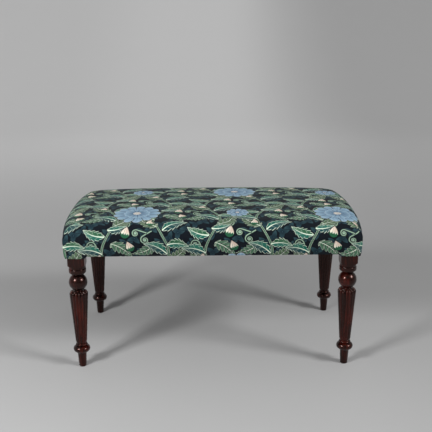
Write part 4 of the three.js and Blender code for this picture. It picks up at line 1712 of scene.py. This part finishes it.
@dataclass
class Staples:
    """The staples that hold the dust cloth to the rails, a wire bent twice at each."""

    pitch: float = 0.034
    inset: float = 0.007
    width: float = 0.011
    leg: float = 0.004
    wire: float = 0.00045
    bend: float = 0.0008
    jitter: float = 0.22
    seed: int = 7
    sides: int = 6
    finish: Finish = field(default_factory=ScrewSteel)

    def one(self) -> bpy.types.Object:
        """A staple, with its crown along X and its legs up.

        Returns:
            An object that is only used as the pattern.
        """
        half, sides = self.width / 2, self.sides
        side = [(-half, self.leg), (-half, self.bend), (-half + self.bend, 0.0)]
        path = [*side, *[(-x, z) for x, z in side[::-1]]]
        leans = [0.0, *[math.pi * eighths / 8 for eighths in (1, 3, 5, 7)], math.pi]
        points = []
        for (x, z), lean in zip(path, leans):
            for angle in [k * TAU / sides for k in range(sides)]:
                across, deep = self.wire * math.cos(angle), self.wire * math.sin(angle)
                points.append((x + across * math.cos(lean), deep, z + across * math.sin(lean)))
        last = len(points)
        faces = [*band_faces(len(path), sides), tuple(range(sides)), tuple(range(last - sides, last))]
        return outwards(MeshParts(points, faces).build("staple_pattern", self.finish))

    @staticmethod
    def rule() -> Graph:
        """The rule that sets staples along lines.

        Returns:
            The graph of the geometry node tree.
        """
        g = Graph(bpy.data.node_groups.new("row_of_staples", "GeometryNodeTree"))
        (lines,) = g.inputs("Lines", kind="Geometry")
        (pattern,) = g.inputs("Pattern", kind="Object")
        pitch, jitter = g.inputs("Pitch", "Jitter")
        (seed,) = g.inputs("Seed", kind="Int")
        (finish,) = g.inputs("Finish", kind="Material")
        curve = g.add("GeometryNodeMeshToCurve", {0: lines})
        spots = g.node("GeometryNodeCurveToPoints", {"Curve": curve, "Length": pitch}, mode="LENGTH")
        aligned = g.add("FunctionNodeAlignRotationToVector", {"Vector": g.out(spots, "Tangent")}, axis="X")
        feeds = {"Min": jitter * -1.0, "Max": jitter, "Seed": seed}
        turn = g.out(g.node("FunctionNodeRandomValue", feeds, data_type="FLOAT"), "Value")
        spin = g.add("FunctionNodeEulerToRotation", {0: g.join(0.0, 0.0, turn)})
        feeds = {"Rotation": aligned, "Rotate By": spin}
        turned = g.add("FunctionNodeRotateRotation", feeds, rotation_space="LOCAL")
        staple = g.out(g.node("GeometryNodeObjectInfo", {"Object": pattern}), "Geometry")
        feeds = {"Points": g.out(spots, "Points"), "Instance": staple, "Rotation": turned}
        g.finished("Staples", g.add("GeometryNodeInstanceOnPoints", feeds), finish)
        return g

    def build(self, reach_x: float, reach_y: float, level: float) -> None:
        """Sets the staples, all as one piece.

        Args:
            reach_x: How far the rows at the front and back go either side of the middle.
            reach_y: How far the rows at the ends go.
            level: The level of the staples' crowns.
        """
        _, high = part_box("dust_cloth")
        x, y = high[0] - self.inset, high[1] - self.inset
        points = []
        for sign in (-1, 1):
            points += [(-reach_x, sign * y, level), (reach_x, sign * y, level)]
            points += [(sign * x, -reach_y, level), (sign * x, reach_y, level)]
        piece = draw_lines("dust_cloth_staples", points, [(i, i + 1) for i in range(0, len(points), 2)])
        pattern = self.one()
        grow(
            piece, self.rule(), Pattern=pattern, Pitch=self.pitch, Jitter=self.jitter, Seed=self.seed,
            Finish=self.finish.material(),
        )
        bpy.data.objects.remove(pattern)
        declare(piece, "screw_steel")


@dataclass
class Underside:
    """The webbing, the hessian, the dust cloth and its staples."""

    hessian_cell: float = 0.012
    dust_cloth_cell: float = 0.008
    strap_cell: float = 0.006
    strap_lines: int = 7
    strap_gap: float = 0.15 * MM
    strap_end: float = 0.02
    block_x: float = 0.3735
    block_y: float = 0.1795
    sag: float = 0.002
    staples_x: float = 0.355
    staples_y: float = 0.16
    staple_level: float = 0.3566

    @staticmethod
    def sheet(name: str, node: str, cell: float, finish: Finish, sag: float = 0.0) -> bpy.types.Object:
        """A thin closed sheet that fills a CAD sheet's box.

        Args:
            name: The piece's name.
            node: The CAD node that it stands for.
            cell: The size of its squares.
            finish: What it is made of.
            sag: How far its middle hangs down.

        Returns:
            The piece.
        """
        low, high = (np.array(corner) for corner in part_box(node))
        size = high - low
        xs, ys = (np.linspace(low[k], high[k], round(size[k] / cell) + 1) for k in (0, 1))
        across, deep = (1 - (2 * (spots - low[k]) / size[k] - 1) ** 4 for k, spots in enumerate((xs, ys)))
        points = [(x, y, high[2] - sag * (u * v)) for x, u in zip(xs, across) for y, v in zip(ys, deep)]
        return thicken(MeshParts(points, grid_faces(len(xs), len(ys))).build(name, finish), size[2])

    def straps(self) -> None:
        """The webbing, each strap over and under those that cross it."""
        names = [f"webbing_long_{i}" for i in range(1, 4)], [f"webbing_cross_{i}" for i in range(1, 8)]
        boxes = {name: [np.array(corner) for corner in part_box(name)] for name in names[0] + names[1]}
        low = min(box[0][2] for box in boxes.values())
        high = max(box[1][2] for box in boxes.values())
        finish = Woven("webbing", ink(176, 150, 108), ink(150, 122, 82), pitch=0.0016, worn=ink(128, 96, 60))
        for axis, (own, others) in enumerate((names, names[::-1])):
            for i, name in enumerate(own):
                spots = [(boxes[other][0][axis] + boxes[other][1][axis]) / 2 for other in others]
                lifts = [1.0 if (i + j) % 2 == axis else 0.0 for j in range(len(others))]
                self.strap(name, boxes[name], axis, sorted(zip(spots, lifts)), (low, high), finish)

    def strap(
        self, node: str, box: Sequence[np.ndarray], axis: int, crossings: Sequence[tuple[float, float]],
        levels: tuple[float, float], finish: Finish,
    ) -> None:
        """One strap.

        Args:
            node: The CAD node that it stands for.
            box: That node's lowest and highest corners.
            axis: 0 if it runs along X, 1 if along Y.
            crossings: The place of each strap that it meets, and 1 where it passes over.
            levels: The levels of the webbing's lowest and highest faces.
            finish: What it is made of.
        """
        low, high = levels
        thickness = (high - low) / 2 - self.strap_gap
        start, end = box[0][axis], box[1][axis]
        places = np.linspace(start, end, round((end - start) / self.strap_cell) + 1)
        spots, over = zip(*crossings)
        knots = [start, start + self.strap_end, *spots, end - self.strap_end, end]
        lifts = [0.0, 0.0, *over, 0.0, 0.0]
        side_low, side_high = box[0][1 - axis], box[1][1 - axis]
        across = np.linspace(side_low, side_high, self.strap_lines)
        points = []
        for place in places:
            k = int(np.clip(np.searchsorted(knots, place) - 1, 0, len(knots) - 2))
            lift = lerp(lifts[k], lifts[k + 1], step(place, knots[k], knots[k + 1]))
            level = low + thickness + lift * (high - low - thickness)
            points += [(other, place, level) if axis else (place, other, level) for other in across]
        parts = MeshParts(points, grid_faces(len(places), len(across), up=not axis))
        piece = thicken(parts.build(node.replace("webbing", "strap"), finish), thickness)
        declare(piece, "webbing", node)

    def build(self) -> None:
        """Makes everything under the seat."""
        self.straps()
        finish = Woven("hessian", ink(170, 142, 98), ink(148, 120, 80), pitch=0.0014)
        hessian = self.sheet("hessian_sheet", "hessian", self.hessian_cell, finish)
        declare(hessian, "hessian", "hessian")
        self.dust_cloth(Woven("dust_cloth", ink(24, 24, 26), ink(17, 17, 19), pitch=0.0007, nap=0.3))
        Staples().build(self.staples_x, self.staples_y, self.staple_level)

    def dust_cloth(self, finish: Finish) -> None:
        """The cloth under the frame, cut away round the legs' blocks."""
        piece = self.sheet("dust_cover", "dust_cloth", self.dust_cloth_cell, finish, self.sag)
        work = bmesh.new()
        work.from_mesh(piece.data)
        gone = [
            face for face in work.faces
            if abs((middle := face.calc_center_median()).x) > self.block_x and abs(middle.y) > self.block_y
        ]
        bmesh.ops.delete(work, geom=gone, context="FACES")
        loose = [vertex for vertex in work.verts if not vertex.link_faces]
        bmesh.ops.delete(work, geom=loose, context="VERTS")
        holes = [edge for edge in work.edges if edge.is_boundary]
        bmesh.ops.holes_fill(work, edges=holes, sides=0)
        work.to_mesh(piece.data)
        work.free()
        declare(piece, "dust_cloth", "dust_cloth")


@dataclass
class HiddenFrame:
    """The frame inside, whose shapes are the part's own."""

    wood: Finish = field(default_factory=FrameWood)
    steel: Finish = field(default_factory=ScrewSteel)

    def build(self, frame: dict) -> None:
        """Gives the rails, dowels, braces, stretcher and screws their materials."""
        for name, node in frame["nodes"].items():
            if name.startswith(("rail_", "dowel_", "corner_brace_", "centre_stretcher")):
                self.dress(node, self.wood)
            elif name.startswith("screw_"):
                self.dress(node, self.steel)

    @staticmethod
    def dress(node: bpy.types.Object, finish: Finish) -> None:
        """Puts a finish in every material slot of a CAD node."""
        for slot in node.material_slots:
            slot.material = finish.material()


@dataclass(frozen=True)
class Softbox:
    """A square lamp, aimed at a point and not seen itself."""

    name: str
    place: tuple[float, float, float]
    size: float
    power: float
    aim: tuple[float, float, float]

    def build(self) -> None:
        """Hangs the lamp."""
        light = bpy.data.lights.new(self.name, "AREA")
        light.shape = "SQUARE"
        light.size = self.size
        light.energy = self.power
        lamp = link(light, self.name)
        lamp.location = self.place
        lamp.rotation_euler = (Vector(self.aim) - Vector(self.place)).to_track_quat("-Z", "Y").to_euler()
        lamp.visible_camera = False


@dataclass
class Studio:
    """The sweep, the lamps and the camera."""

    eye: tuple[float, float, float] = (-0.019, -2.317, 1.071)
    yaw: float = 0.78
    pitch: float = 15.87
    roll: float = -0.3
    lens: float = 63.08
    sensor: float = 36.0
    sight: float = 60.0
    wall: float = 8.0
    curve: float = 3.5
    curve_steps: int = 17
    height: float = 5.0
    turns: int = 72
    world: float = 0.312
    shown: float = 0.3
    lamps: tuple[Softbox, ...] = (
        Softbox("left_softbox", (-1.79, -1.91, 1.71), 0.61, 57.4, (0.0, 0.0, 0.25)),
        Softbox("right_softbox", (3.31, -1.93, 2.83), 1.16, 116.7, (-0.3, 0.0, 0.25)),
    )

    def sweep(self) -> None:
        """A seamless round floor that curves up into a low wall."""
        flat = self.wall - self.curve
        profile = [(1.0, 0.0), (flat * 0.6, 0.0)]
        for angle in np.linspace(0, QUARTER, self.curve_steps):
            profile.append((flat + self.curve * math.sin(angle), self.curve * (1 - math.cos(angle))))
        profile.append((self.wall, self.height))
        around = [TAU * i / self.turns for i in range(self.turns)]
        points = [(r * math.cos(a), r * math.sin(a), z) for r, z in profile for a in around]
        points.append((0.0, 0.0, 0.0))
        faces = [(j, (j + 1) % self.turns, len(points) - 1) for j in range(self.turns)]
        faces += [face[::-1] for face in band_faces(len(profile), self.turns)]
        MeshParts(points, faces).build("studio_sweep", PaperGrey())

    def camera(self) -> None:
        """The camera as the photograph was taken."""
        yaw, pitch, roll = (math.radians(a) for a in (self.yaw, self.pitch, self.roll))
        ahead = Vector((math.sin(yaw) * math.cos(pitch), math.cos(yaw) * math.cos(pitch), -math.sin(pitch)))
        right = Vector((math.cos(yaw), -math.sin(yaw), 0.0))
        up = right.cross(ahead)
        across = right * math.cos(roll) + up * math.sin(roll)
        upward = up * math.cos(roll) - right * math.sin(roll)
        data = bpy.data.cameras.new("camera")
        data.lens, data.sensor_width, data.clip_end = self.lens, self.sensor, self.sight
        camera = link(data, "camera")
        turned = Matrix((across, upward, -ahead)).transposed().to_4x4()
        camera.matrix_world = Matrix.Translation(self.eye) @ turned
        bpy.context.scene.camera = camera

    def build(self) -> None:
        """Sets up the studio."""
        self.camera()
        self.sweep()
        for lamp in self.lamps:
            lamp.build()
        world = bpy.data.worlds.new("studio")
        world.use_nodes = True
        graph = Graph(world.node_tree)
        level, shown = ((tone, tone, tone, 1.0) for tone in (self.world, self.shown))
        tone = graph.mix(seen_rays(graph), level, shown)
        graph.feed(world.node_tree.nodes["Background"].inputs["Color"], tone)
        scene = bpy.context.scene
        scene.world = world
        scene.view_settings.view_transform = "Standard"


def plain(bounds: Sequence) -> list:
    """A box as plain lists of numbers."""
    return [[round(float(value), 5) for value in corner] for corner in bounds]


def main() -> None:
    """Builds the stool's pieces in order and sets up the studio."""
    logging.basicConfig(level=logging.INFO, format="%(message)s", force=True)
    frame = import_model()
    Studio().build()
    Legs().build()
    form = SeatForm()
    Filling(form).build()
    Cover(form).build()
    Underside().build()
    HiddenFrame().build(frame)


if __name__ == "__main__":
    main()
